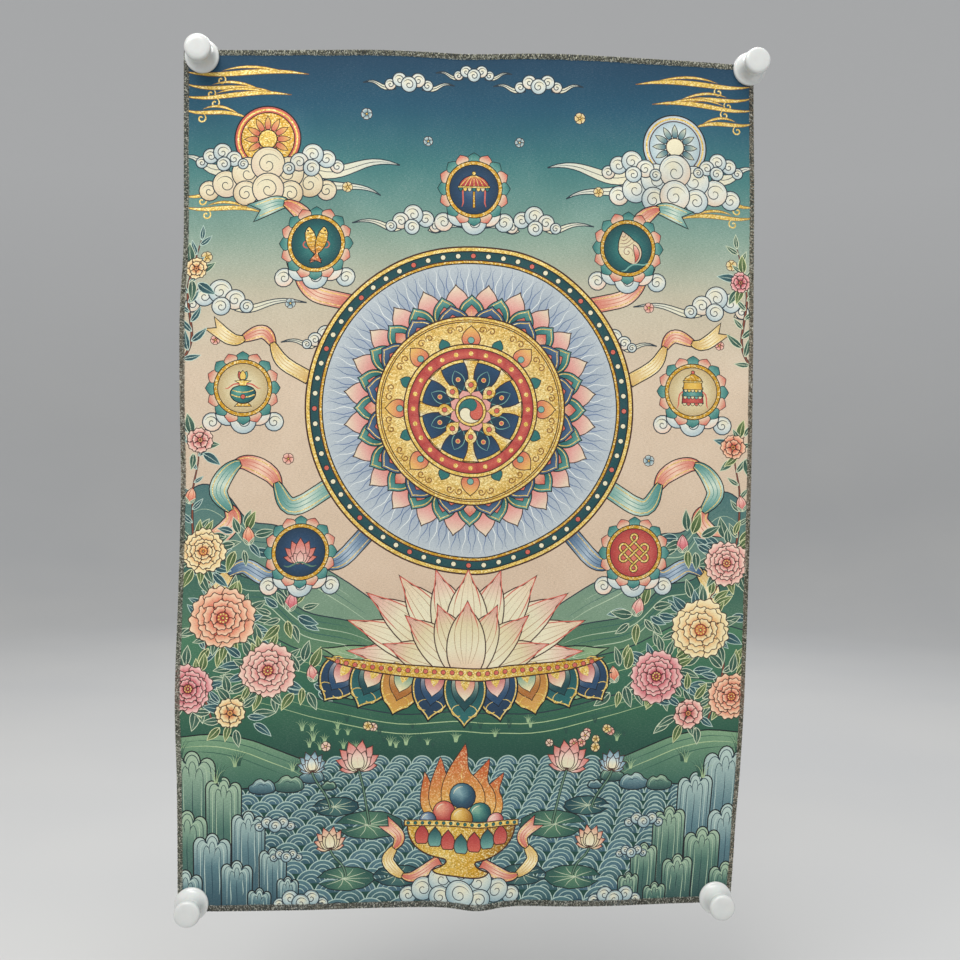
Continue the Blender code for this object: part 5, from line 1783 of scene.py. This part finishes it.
def brocade_material():
    s = Shade("brocade_silk")
    flat = s.attribute("Flat", "Vector")
    thread = s.attribute("Thread", "Color")
    gold = s.attribute("Gold", "Fac")
    raised = s.attribute("Raised", "Fac")
    back = s.attribute("Back", "Fac")
    # weft streaks, the grain of single picks, and slow mottling
    streak = s.noise(s.scale(flat, 0.30, 1.7), 1.0, 2.0, 0.6)
    grain = s.noise(s.scale(flat, 0.9, 1.5), 1.0, 3.0, 0.65)
    mottle = s.noise(s.scale(flat, 0.02, 0.02), 1.0, 2.0)
    shade = s.math("ADD", s.span(streak, 0.25, 0.75, -0.10, 0.10), s.span(grain, 0.25, 0.75, -0.14, 0.14))
    shade = s.math("ADD", shade, s.span(mottle, 0.3, 0.7, -0.03, 0.03))
    # pale threads show a dark ground between picks, and dark threads less of a pale one: partly the threads' own
    # colours, partly painted highlight on the picks and painted shade between them
    split = s.put("ShaderNodeSeparateColor", i0=thread)
    light = s.math("ADD", s.math("MULTIPLY", split.outputs[0], 0.4), s.math("MULTIPLY", split.outputs[1], 0.6))
    most = s.span(light, 0.015, 0.40, 0.07, 0.55)
    lit = s.mix(s.math("MULTIPLY", s.span(shade, 0.0, 0.3, 0.0, 1.0), most), thread, (0.93, 0.91, 0.85, 1))
    dim = s.mix(s.span(shade, -0.3, 0.0, 0.58, 0.0), lit, (0.06, 0.075, 0.085, 1))
    # the back: long floats of the threads that the face doesn't show
    floats = s.noise(s.scale(flat, 0.11, 1.25), 1.0, 2.0, 0.6)
    short = s.noise(s.scale(flat, 0.35, 2.2), 1.0, 2.0, 0.6)
    under = s.mix(s.span(floats, 0.36, 0.47, 0.62, 0.0), dim, (0.050, 0.060, 0.070, 1))
    under = s.mix(s.span(floats, 0.55, 0.66, 0.0, 0.58), under, (0.50, 0.45, 0.35, 1))
    under = s.mix(s.math("MULTIPLY", s.span(short, 0.60, 0.70, 0.0, 0.55), s.span(mottle, 0.4, 0.6, 0.2, 1.0)), under,
                  (0.46, 0.30, 0.09, 1))
    dim = s.mix(back, dim, under)
    # metal thread: bright and dull specks about a millimetre across, painted into its colour: painted glints where the
    # metal catches the light, painted shade where it doesn't
    cells = s.put("ShaderNodeTexVoronoi", Vector=s.scale(flat, 0.80, 1.05), Scale=1.0).outputs["Color"]
    speck = s.put("ShaderNodeSeparateColor", i0=cells).outputs[0]
    drift = s.noise(s.scale(flat, 0.05, 0.05), 1.0, 3.0, 0.6)
    glint = s.math("ADD", s.math("MULTIPLY", speck, 0.86), s.math("MULTIPLY", grain, 0.24))
    glint = s.math("ADD", glint, s.span(drift, 0.3, 0.7, -0.08, 0.08))
    gold_painted_glint_and_shade = s.mix(s.span(glint, 0.16, 0.58, 0.0, 1.0), s.mix(0.66, thread, (0.36, 0.20, 0.012, 1)), thread)
    gold_painted_glint_and_shade = s.mix(s.span(glint, 0.68, 0.94, 0.0, 0.8), gold_painted_glint_and_shade, (1.0, 0.90, 0.50, 1))
    colour = s.mix(gold, dim, gold_painted_glint_and_shade)
    # under the overlock the cloth is cut and pressed; its colour there is darkened to near black as painted shade of
    # the threads over it
    xyz = s.put("ShaderNodeSeparateXYZ", i0=flat)
    from_side = s.math("SUBTRACT", PANEL_WIDTH / 2, s.math("ABSOLUTE", s.math("SUBTRACT", xyz.outputs[0], PANEL_WIDTH / 2)))
    from_end = s.math("SUBTRACT", PANEL_HEIGHT / 2, s.math("ABSOLUTE", s.math("SUBTRACT", xyz.outputs[1], PANEL_HEIGHT / 2)))
    low = s.span(xyz.outputs[1], 440.0, 460.0, 5.1, 6.1)
    deep = s.math("MINIMUM", s.math("SUBTRACT", from_side, 4.5), s.math("SUBTRACT", from_end, low))
    hem = s.math("ADD", deep, s.span(grain, 0.2, 0.8, -0.45, 0.45))
    colour = s.mix(s.span(hem, -0.5, 0.3, 0.74, 0.0), colour, (0.045, 0.043, 0.032, 1))
    s.feed(s.bsdf.inputs["Base Color"], colour)
    s.feed(s.bsdf.inputs["Metallic"], s.math("MULTIPLY", gold, s.span(glint, 0.3, 0.8, 0.16, 0.42)))
    rough = s.math("SUBTRACT", s.span(grain, 0.3, 0.7, 0.62, 0.8), s.math("MULTIPLY", gold, 0.26))
    s.feed(s.bsdf.inputs["Roughness"], rough)
    s.bsdf.inputs["Specular IOR Level"].default_value = 0.28
    s.bsdf.inputs["Sheen Weight"].default_value = 0.08
    s.bsdf.inputs["Sheen Roughness"].default_value = 0.45
    # weave: twill of picks over ends
    ribs = s.put("ShaderNodeTexWave", {"wave_type": "BANDS", "bands_direction": "Y"}, Vector=flat,
                 Scale=0.62, Distortion=0.6, Detail=1.0, Detail_Scale=1.0).outputs["Fac"]
    ends = s.put("ShaderNodeTexWave", {"wave_type": "BANDS", "bands_direction": "DIAGONAL"}, Vector=s.scale(flat, 1.0, 0.5),
                 Scale=0.55, Distortion=0.4, Detail=1.0, Detail_Scale=1.0).outputs["Fac"]
    weave = s.math("ADD", s.math("MULTIPLY", ribs, 0.5), s.math("MULTIPLY", ends, 0.35))
    weave = s.math("ADD", weave, s.math("MULTIPLY", grain, 0.9))
    height = s.math("ADD", weave, s.math("MULTIPLY", raised, 1.3))
    height = s.math("ADD", height, s.math("MULTIPLY", s.math("MULTIPLY", gold, speck), 0.9))
    s.feed(s.bsdf.inputs["Normal"], s.bump(height, 0.00012, 0.75))
    return s.mat


def pin_material():
    s = Shade("white_plastic_moulded")
    where = s.put("ShaderNodeTexCoord").outputs["Object"]
    cloudy = s.noise(where, 90.0, 3.0, 0.55)
    fine = s.noise(where, 900.0, 2.0, 0.5)
    tone = s.mix(s.span(cloudy, 0.3, 0.7, 0.0, 1.0), (0.68, 0.695, 0.68, 1), (0.64, 0.655, 0.645, 1))
    s.feed(s.bsdf.inputs["Base Color"], tone)
    s.feed(s.bsdf.inputs["Roughness"], s.span(cloudy, 0.3, 0.7, 0.17, 0.27))
    s.bsdf.inputs["Specular IOR Level"].default_value = 0.5
    s.bsdf.inputs["Subsurface Weight"].default_value = 0.05
    s.bsdf.inputs["Subsurface Scale"].default_value = 0.002
    s.bsdf.inputs["Coat Weight"].default_value = 0.15
    s.bsdf.inputs["Coat Roughness"].default_value = 0.1
    s.feed(s.bsdf.inputs["Normal"], s.bump(fine, 0.00003, 0.5))
    return s.mat


brocade = brocade_material()
cloth = build_cloth()
cloth.data.materials.append(brocade)
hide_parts("cloth_panel")
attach(cloth, "root")

# =============================================================================
# Pins
# =============================================================================
PIN_PROFILE = ((16.9, 0.0), (17.6, 0.7), (17.6, 2.6), (16.8, 3.8), (14.9, 5.2), (13.0, 8.2), (11.5, 13.0), (11.1, 18.0),
               (11.6, 22.4), (12.8, 25.2), (13.5, 27.6), (13.6, 30.2), (12.9, 32.1), (11.2, 33.2), (8.0, 33.6))


def fine_profile():
    pts = smooth(np.array(PIN_PROFILE), 5)
    pts[:, 0] = np.clip(pts[:, 0], 0, 17.6)
    pts[:, 1] = np.clip(pts[:, 1], 0, 33.6)
    base = P((0.0, 0.0), (8.0, 0.0), (14.0, 0.0), (16.2, 0.0))
    crown = P((6.0, 33.6), (3.0, 33.6), (0.0, 33.6))
    return np.vstack([base, pts, crown])


def build_pin(name, across, down, material):
    prof = fine_profile()
    seg = 72
    verts, faces = [], []
    rings = []
    y0 = -(CLOTH_THICKNESS + PIN_GAP)
    for r, t in prof:
        if r < 1e-6:
            rings.append([len(verts)])
            verts.append((across * MM, (y0 - t) * MM, -down * MM))
        else:
            ids = []
            for k in range(seg):
                a = TAU * k / seg
                ids.append(len(verts))
                verts.append(((across + r * math.cos(a)) * MM, (y0 - t) * MM, (-down + r * math.sin(a)) * MM))
            rings.append(ids)
    for lo, hi in zip(rings[:-1], rings[1:]):
        for k in range(seg):
            j = (k + 1) % seg
            if len(lo) == 1:
                faces.append((lo[0], hi[j], hi[k]))
            elif len(hi) == 1:
                faces.append((lo[k], lo[j], hi[0]))
            else:
                faces.append((lo[k], lo[j], hi[j], hi[k]))
    mesh = bpy.data.meshes.new(name + "_turned")
    mesh.from_pydata(verts, [], faces)
    bm = bmesh.new()
    bm.from_mesh(mesh)
    bmesh.ops.recalc_face_normals(bm, faces=bm.faces)
    bm.to_mesh(mesh)
    bm.free()
    mesh.polygons.foreach_set("use_smooth", [True] * len(mesh.polygons))
    obj = bpy.data.objects.new(name + "_turned", mesh)
    bpy.context.scene.collection.objects.link(obj)
    mesh.materials.append(material)
    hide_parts(name)
    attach(obj, "root")
    return obj


plastic = pin_material()
pins = [build_pin(name, across, down, plastic) for name, across, down in PINS]

# =============================================================================
# The overlocked edge: a looper thread on each face, joined round the edge, and
# the needle's thread along the inner line.  One mesh for each side.
# =============================================================================
PITCH = 1.7                              # mm from stitch to stitch
OVERLOCK = (
    # name, from, to (design places), inward, depth of the band, tint of the thread: lightest at the top, darkest at the
    # bottom, partly the thread's own colour and partly painted shade
    ("overlock_top", (0.4, 0.0), (599.6, 0.0), (0, 1), 5.1, (0.85, 0.86, 0.83)),
    ("overlock_right", (600.0, 1.0), (600.0, 899.0), (-1, 0), 4.2, (0.80, 0.72, 0.67)),
    ("overlock_bottom", (599.6, 900.0), (0.4, 900.0), (0, -1), 6.1, (0.64, 0.63, 0.66)),
    ("overlock_left", (0.0, 899.0), (0.0, 1.0), (1, 0), 4.6, (0.80, 0.80, 0.82)),
)
KHAKI = ((222, 222, 202), (182, 180, 156), (148, 146, 122), (112, 110, 90), (70, 70, 58))


def strand(rows, wide, high, sides, parts):
    """A tube round rows of centres, (stitches, rings, (x, y, lift)).  With
    parts, each stitch is a piece of its own, else the thread runs on."""
    stitches, rings, _ = rows.shape
    c = rows.reshape(-1, 3)
    way = np.gradient(rows, axis=1).reshape(-1, 3) if parts else np.gradient(c, axis=0)
    way /= np.linalg.norm(way, axis=1)[:, None]
    up = np.array([0.0, 0.0, 1.0]) - way * way[:, 2:3]
    up /= np.linalg.norm(up, axis=1)[:, None]
    side = np.cross(way, up)
    a = TAU * (np.arange(sides) + 0.5) / sides
    ring = (c[:, None, :] + wide * np.cos(a)[None, :, None] * side[:, None, :]
            + high * np.sin(a)[None, :, None] * up[:, None, :])
    link = np.arange(len(c) - 1)
    if parts:
        link = link[(link + 1) % rings != 0]
    j = np.arange(sides)
    j2 = (j + 1) % sides
    at, nxt = link[:, None] * sides, (link + 1)[:, None] * sides
    quads = np.stack([at + j, at + j2, nxt + j2, nxt + j], -1).reshape(-1, 4)
    gone = np.concatenate([[0], np.cumsum(np.linalg.norm(np.diff(c, axis=0), axis=1))])
    info = {
        "stitch": np.repeat(link // rings, sides),
        "u0": np.repeat((link % rings) / rings, sides),
        "u1": np.repeat((link % rings + 1) / rings, sides),
        "v0": np.tile(j / sides, len(link)), "v1": np.tile((j + 1) / sides, len(link)),
        "a0": np.repeat(gone[link], sides), "a1": np.repeat(gone[link + 1], sides),
    }
    return ring.reshape(-1, 3), quads, info


def build_overlock(name, start, end, inward, depth, tint_and_painted_shade, seed, material):
    rnd = np.random.default_rng(seed)
    start, end, inward = np.array(start, float), np.array(end, float), np.array(inward, float)
    run = float(np.hypot(*(end - start)))
    along = (end - start) / run
    count = int(run // PITCH) - 2
    s0 = (run - (count + 1) * PITCH) / 2 + np.arange(count) * PITCH
    wob = rnd.normal(0, 1, (count, 8))
    slow = np.interp(np.arange(count), np.arange(0, count + 12, 12), rnd.normal(0, 1, count // 12 + 2)[:len(np.arange(0, count + 12, 12))])
    deep = depth + 0.20 * wob[:, 0] + 0.22 * slow
    lean = 2.15 + 0.34 * wob[:, 1]

    def rows(table):
        """table: (shift along, share of the lean, depth share, depth in mm, lift)."""
        t = np.array(table)
        s = s0[:, None] + t[:, 0] + t[:, 1] * lean[:, None]
        d = t[:, 2] * deep[:, None] + t[:, 3]
        d = d + 0.07 * rnd.normal(0, 1, d.shape) * (t[:, 2] > 0.05)
        free = np.where((t[:, 2] > 0.3) & (t[:, 2] < 0.95), 0.26, 0.07)
        s = s + free * rnd.normal(0, 1, s.shape)
        xy = start + s[..., None] * along + d[..., None] * inward
        lift = np.broadcast_to(t[:, 4], s.shape)[..., None]
        return np.concatenate([xy, lift], axis=2)

    upper = rows(((0.0, 0.0, 1.0, 0.0, 1.17), (0.02, 0.14, 0.87, 0.0, 1.22), (0.0, 0.46, 0.53, 0.0, 1.235),
                  (0.0, 0.84, 0.14, 0.0, 1.215), (0.0, 0.97, 0.0, -0.16, 1.00), (0.12, 1.0, 0.0, -0.40, 0.70),
                  (0.24, 1.0, 0.0, -0.14, 1.00), (0.16, 0.97, 0.16, 0.0, 1.215), (0.90, 0.46, 0.56, 0.0, 1.235),
                  (1.52, 0.08, 0.90, 0.0, 1.22)))
    lower = rows(((0.10, 0.0, 0.97, 0.0, 0.19), (0.30, 0.0, 0.80, 0.0, 0.185), (0.90, 0.0, 0.36, 0.0, 0.185),
                  (1.22, 0.0, 0.0, 0.02, 0.31), (1.40, 0.0, 0.0, -0.38, 0.70), (1.56, 0.0, 0.0, 0.02, 0.31),
                  (1.64, 0.0, 0.36, 0.0, 0.185), (1.72, 0.0, 0.80, 0.0, 0.185)))
    needle = rows(((0.06, 0.0, 1.0, 0.16, 0.86), (0.34, 0.0, 1.0, 0.14, 1.235), (1.30, 0.0, 1.0, 0.14, 1.235),
                   (1.62, 0.0, 1.0, 0.16, 0.86)))
    def tones(value):
        value = np.clip(value, 0, 4)
        return np.stack([np.interp(value, np.arange(5), [c[i] for c in KHAKI]) for i in range(3)], 1)

    tone = 1.65 + 0.50 * wob[:, 2] + 0.30 * slow

    cols = int(math.ceil(math.sqrt(count)))
    verts, quads, colours, uvs, runs, rounds = [], [], [], [], [], []
    base = 0
    # shade gives each ring of a stitch painted light and shade: the upper looper's first leg lighter, its way back
    # darker, the lower looper darker, the needle's thread lighter
    for piece, wide, high, sides, parts, (lo, hi), shade in (
            (upper, 0.255, 0.215, 5, False, (0.04, 0.46), (-0.3, -0.7, -0.7, -0.4, 0.2, 0.6, 0.6, 0.7, 0.6, 0.0)),
            (lower, 0.21, 0.165, 4, False, (0.52, 0.76), (0.4,) * 8), (needle, 0.17, 0.17, 5, True, (0.82, 0.96), (-0.5,) * 4)):
        v, q, info = strand(piece, wide, high, sides, parts)
        verts.append(v)
        quads.append(q + base)
        base += len(v)
        value = tone[:, None] + np.array(shade) * (1.0 + 0.5 * wob[:, 3:4]) + 0.85 * rnd.normal(0, 1, (count, len(shade)))
        colours.append(np.repeat(tones(value.ravel()) * tint_and_painted_shade, sides, axis=0))
        cell_x, cell_y = (info["stitch"] % cols) / cols, (info["stitch"] // cols) / cols
        u0 = cell_x + (0.05 + 0.9 * info["u0"]) / cols
        u1 = cell_x + (0.05 + 0.9 * info["u1"]) / cols
        w0 = cell_y + (lo + (hi - lo) * info["v0"]) / cols
        w1 = cell_y + (lo + (hi - lo) * info["v1"]) / cols
        uvs.append(np.stack([np.stack([u0, w0], 1), np.stack([u0, w1], 1), np.stack([u1, w1], 1), np.stack([u1, w0], 1)], 1))
        runs.append(np.stack([info["a0"], info["a0"], info["a1"], info["a1"]], 1))
        rounds.append(np.stack([info["v0"], info["v1"], info["v1"], info["v0"]], 1))
    verts, quads = np.vstack(verts), np.vstack(quads)
    uvs, runs, rounds = np.vstack(uvs), np.vstack(runs), np.vstack(rounds)
    world = hang(verts[:, :2], verts[:, 2])
    # outward is away from the thread's middle
    first = quads[0]
    middle = world[first].mean(0) - world[:5].mean(0)
    if np.dot(np.cross(world[first[1]] - world[first[0]], world[first[2]] - world[first[0]]), middle) < 0:
        quads, uvs, runs, rounds = quads[:, ::-1], uvs[:, ::-1], runs[:, ::-1], rounds[:, ::-1]

    mesh = bpy.data.meshes.new(name)
    mesh.vertices.add(len(world))
    mesh.vertices.foreach_set("co", world.ravel())
    mesh.loops.add(quads.size)
    mesh.loops.foreach_set("vertex_index", quads.ravel().astype(np.int32))
    mesh.polygons.add(len(quads))
    mesh.polygons.foreach_set("loop_start", np.arange(0, quads.size, 4, dtype=np.int32))
    mesh.polygons.foreach_set("loop_total", np.full(len(quads), 4, dtype=np.int32))
    mesh.update(calc_edges=True)
    mesh.polygons.foreach_set("use_smooth", [True] * len(quads))
    rgba = np.ones((len(world), 4))
    rgba[:, :3] = to_linear(np.vstack(colours))
    mesh.color_attributes.new("Thread", "FLOAT_COLOR", "POINT").data.foreach_set("color", rgba.ravel())
    for key, values in (("Along", runs), ("Round", rounds)):
        mesh.attributes.new(key, "FLOAT", "CORNER").data.foreach_set("value", np.ascontiguousarray(values).ravel())
    mesh.uv_layers.new(name="OFBake").data.foreach_set("uv", np.ascontiguousarray(uvs).ravel())
    mesh.materials.append(material)
    obj = bpy.data.objects.new(name, mesh)
    bpy.context.scene.collection.objects.link(obj)
    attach(obj, "root")
    return obj


def thread_material():
    s = Shade("overlock_thread")
    thread = s.attribute("Thread", "Color")
    along = s.attribute("Along", "Fac")
    turn = s.attribute("Round", "Fac")
    where = s.put("ShaderNodeTexCoord").outputs["Object"]
    fibre = s.noise(where, 2600.0, 3.0, 0.6)
    worn = s.noise(where, 60.0, 2.0, 0.5)
    painted_light_fleck = s.noise(where, 560.0, 1.0, 0.5)
    # two plies twisted about each other, with painted shade darkening the groove between them
    twist = s.math("ADD", s.math("MULTIPLY", along, 1.15), turn)
    ply = s.math("ABSOLUTE", s.math("SINE", s.math("MULTIPLY", twist, math.pi)))
    colour = s.mix(s.span(ply, 0.0, 0.6, 0.5, 0.0), thread, (0.10, 0.09, 0.055, 1))
    colour = s.mix(s.span(fibre, 0.5, 0.8, 0.0, 0.35), colour, (0.72, 0.69, 0.55, 1))
    colour = s.mix(s.span(worn, 0.35, 0.65, 0.22, 0.0), colour, (0.16, 0.145, 0.10, 1))
    # darker and lighter flecks in the thread's colour: painted shade and painted highlight for the stitches' shadows
    # and the light they catch
    colour = s.mix(s.span(painted_light_fleck, 0.38, 0.50, 0.88, 0.0), colour, (0.030, 0.030, 0.022, 1))
    colour = s.mix(s.span(painted_light_fleck, 0.53, 0.66, 0.0, 0.70), colour, (0.74, 0.74, 0.64, 1))
    s.feed(s.bsdf.inputs["Base Color"], colour)
    s.feed(s.bsdf.inputs["Roughness"], s.span(fibre, 0.3, 0.7, 0.72, 0.88))
    s.bsdf.inputs["Specular IOR Level"].default_value = 0.3
    s.bsdf.inputs["Sheen Weight"].default_value = 0.2
    s.bsdf.inputs["Sheen Roughness"].default_value = 0.4
    height = s.math("ADD", ply, s.math("MULTIPLY", fibre, 0.5))
    s.feed(s.bsdf.inputs["Normal"], s.bump(height, 0.00008, 0.8))
    return s.mat


overlock_thread = thread_material()
edges = [build_overlock(name, start, end, inward, depth, tint_and_painted_shade, 31 + k, overlock_thread)
         for k, (name, start, end, inward, depth, tint_and_painted_shade) in enumerate(OVERLOCK)]
print("overlock: " + ", ".join(f"{o.name} {2 * len(o.data.polygons)}" for o in edges) + " triangles")

# =============================================================================
# Studio and camera
# =============================================================================
def surface(name, verts, faces, material):
    mesh = bpy.data.meshes.new(name)
    mesh.from_pydata(verts, [], faces)
    mesh.materials.append(material)
    obj = bpy.data.objects.new(name, mesh)
    bpy.context.scene.collection.objects.link(obj)
    mesh.polygons.foreach_set("use_smooth", [True] * len(mesh.polygons))
    return obj


def glowing_sweep_material():
    """Matt white-grey paper, darker higher up; its walls glow with painted light, an emission that rises with height,
    standing in for a light tent lit from outside.
    """
    s = Shade("studio_paper_glowing")
    where = s.put("ShaderNodeTexCoord").outputs["Object"]
    tone = s.mix(s.span(s.noise(where, 1.3, 2.0), 0.3, 0.7, 0.0, 1.0), (0.56, 0.565, 0.57, 1), (0.60, 0.60, 0.595, 1))
    height = s.put("ShaderNodeSeparateXYZ", i0=where).outputs[2]
    s.feed(s.bsdf.inputs["Base Color"], s.mix(s.span(height, FLOOR_Z, FLOOR_Z + 2.2, 0.0, 1.0), tone, (0.22, 0.22, 0.22, 1)))
    s.bsdf.inputs["Roughness"].default_value = 0.9
    s.bsdf.inputs["Specular IOR Level"].default_value = 0.1
    s.bsdf.inputs["Emission Color"].default_value = (0.97, 0.985, 1.0, 1)
    s.feed(s.bsdf.inputs["Emission Strength"], s.span(height, FLOOR_Z, FLOOR_Z + 2.2, 0.0, 0.28))
    s.mat.cycles.emission_sampling = "NONE"
    return s.mat


FLOOR_Z, RADIUS, BEND, WALL_TOP = -1.10, 5.4, 2.2, 4.6
middle = (0.0, 0.5)
outline = [(0.0, FLOOR_Z), (1.6, FLOOR_Z), (RADIUS - BEND, FLOOR_Z)]
for k in range(1, 13):
    a = math.radians(90 * k / 12)
    outline.append((RADIUS - BEND + BEND * math.sin(a), FLOOR_Z + BEND * (1 - math.cos(a))))
outline.append((RADIUS, WALL_TOP))
verts, faces = [(middle[0], middle[1], FLOOR_Z)], []
ROUND = 72
for r, z in outline[1:]:
    verts += [(middle[0] + r * math.cos(TAU * j / ROUND), middle[1] + r * math.sin(TAU * j / ROUND), z) for j in range(ROUND)]
for j in range(ROUND):
    faces.append((0, 1 + j, 1 + (j + 1) % ROUND))
for k in range(len(outline) - 2):
    for j in range(ROUND):
        p, q = 1 + k * ROUND + j, 1 + k * ROUND + (j + 1) % ROUND
        faces.append((p, p + ROUND, q + ROUND, q))
surface("studio_sweep", verts, faces, glowing_sweep_material())


def area(name, place, aim, size, power, colour=(1, 1, 1)):
    data = bpy.data.lights.new(name, "AREA")
    data.shape = "RECTANGLE"
    data.size, data.size_y = size
    data.energy = power
    data.color = colour
    obj = bpy.data.objects.new(name, data)
    obj.location = place
    obj.rotation_euler = (Vector(aim) - Vector(place)).to_track_quat("-Z", "Y").to_euler()
    bpy.context.scene.collection.objects.link(obj)
    return obj


area("key", (-1.2, -2.4, 1.7), (0, 0, -0.45), (1.7, 1.2), 50, (1.0, 0.985, 0.95))
area("overhead", (-0.2, -0.9, 2.5), (0, -0.1, -0.45), (2.2, 1.4), 66, (1.0, 0.99, 0.97))
area("fill", (2.3, -2.2, 0.2), (0, 0, -0.45), (1.8, 1.8), 8, (0.97, 0.985, 1.0))
area("behind", (0.6, 2.6, 1.9), (0, 0, -0.45), (2.4, 1.6), 42)
world = bpy.data.worlds.new("studio")
world.use_nodes = True
world.node_tree.nodes["Background"].inputs[0].default_value = (0.90, 0.93, 0.96, 1)
world.node_tree.nodes["Background"].inputs[1].default_value = 0.40
bpy.context.scene.world = world
bpy.context.scene.view_settings.view_transform = "Standard"

# The camera stands where the photograph's did, from the pins' lean and the corners.
aim = Vector((392 - 480, -(452 - 480), -1200)).normalized()
up0 = Vector((0, 1, 0))
up0 = (up0 - aim * up0.dot(aim)).normalized()
right0 = aim.cross(up0)
roll = math.radians(0.65)
up = math.cos(roll) * up0 + math.sin(roll) * right0
right = aim.cross(up)
turn = bpy.data.objects.new("camera", bpy.data.cameras.new("camera"))
turn.rotation_mode = "XYZ"
turn.rotation_euler = Matrix((right, aim, up)).to_euler("XYZ")
turn.location = (-0.0812, -1.2735, -0.4166)
turn.data.lens = 45.0
turn.data.sensor_width = 36.0
turn.data.clip_start = 0.01
bpy.context.scene.collection.objects.link(turn)
bpy.context.scene.camera = turn

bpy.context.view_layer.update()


print(f"scene.py: {time.time() - STARTED:.1f} s")
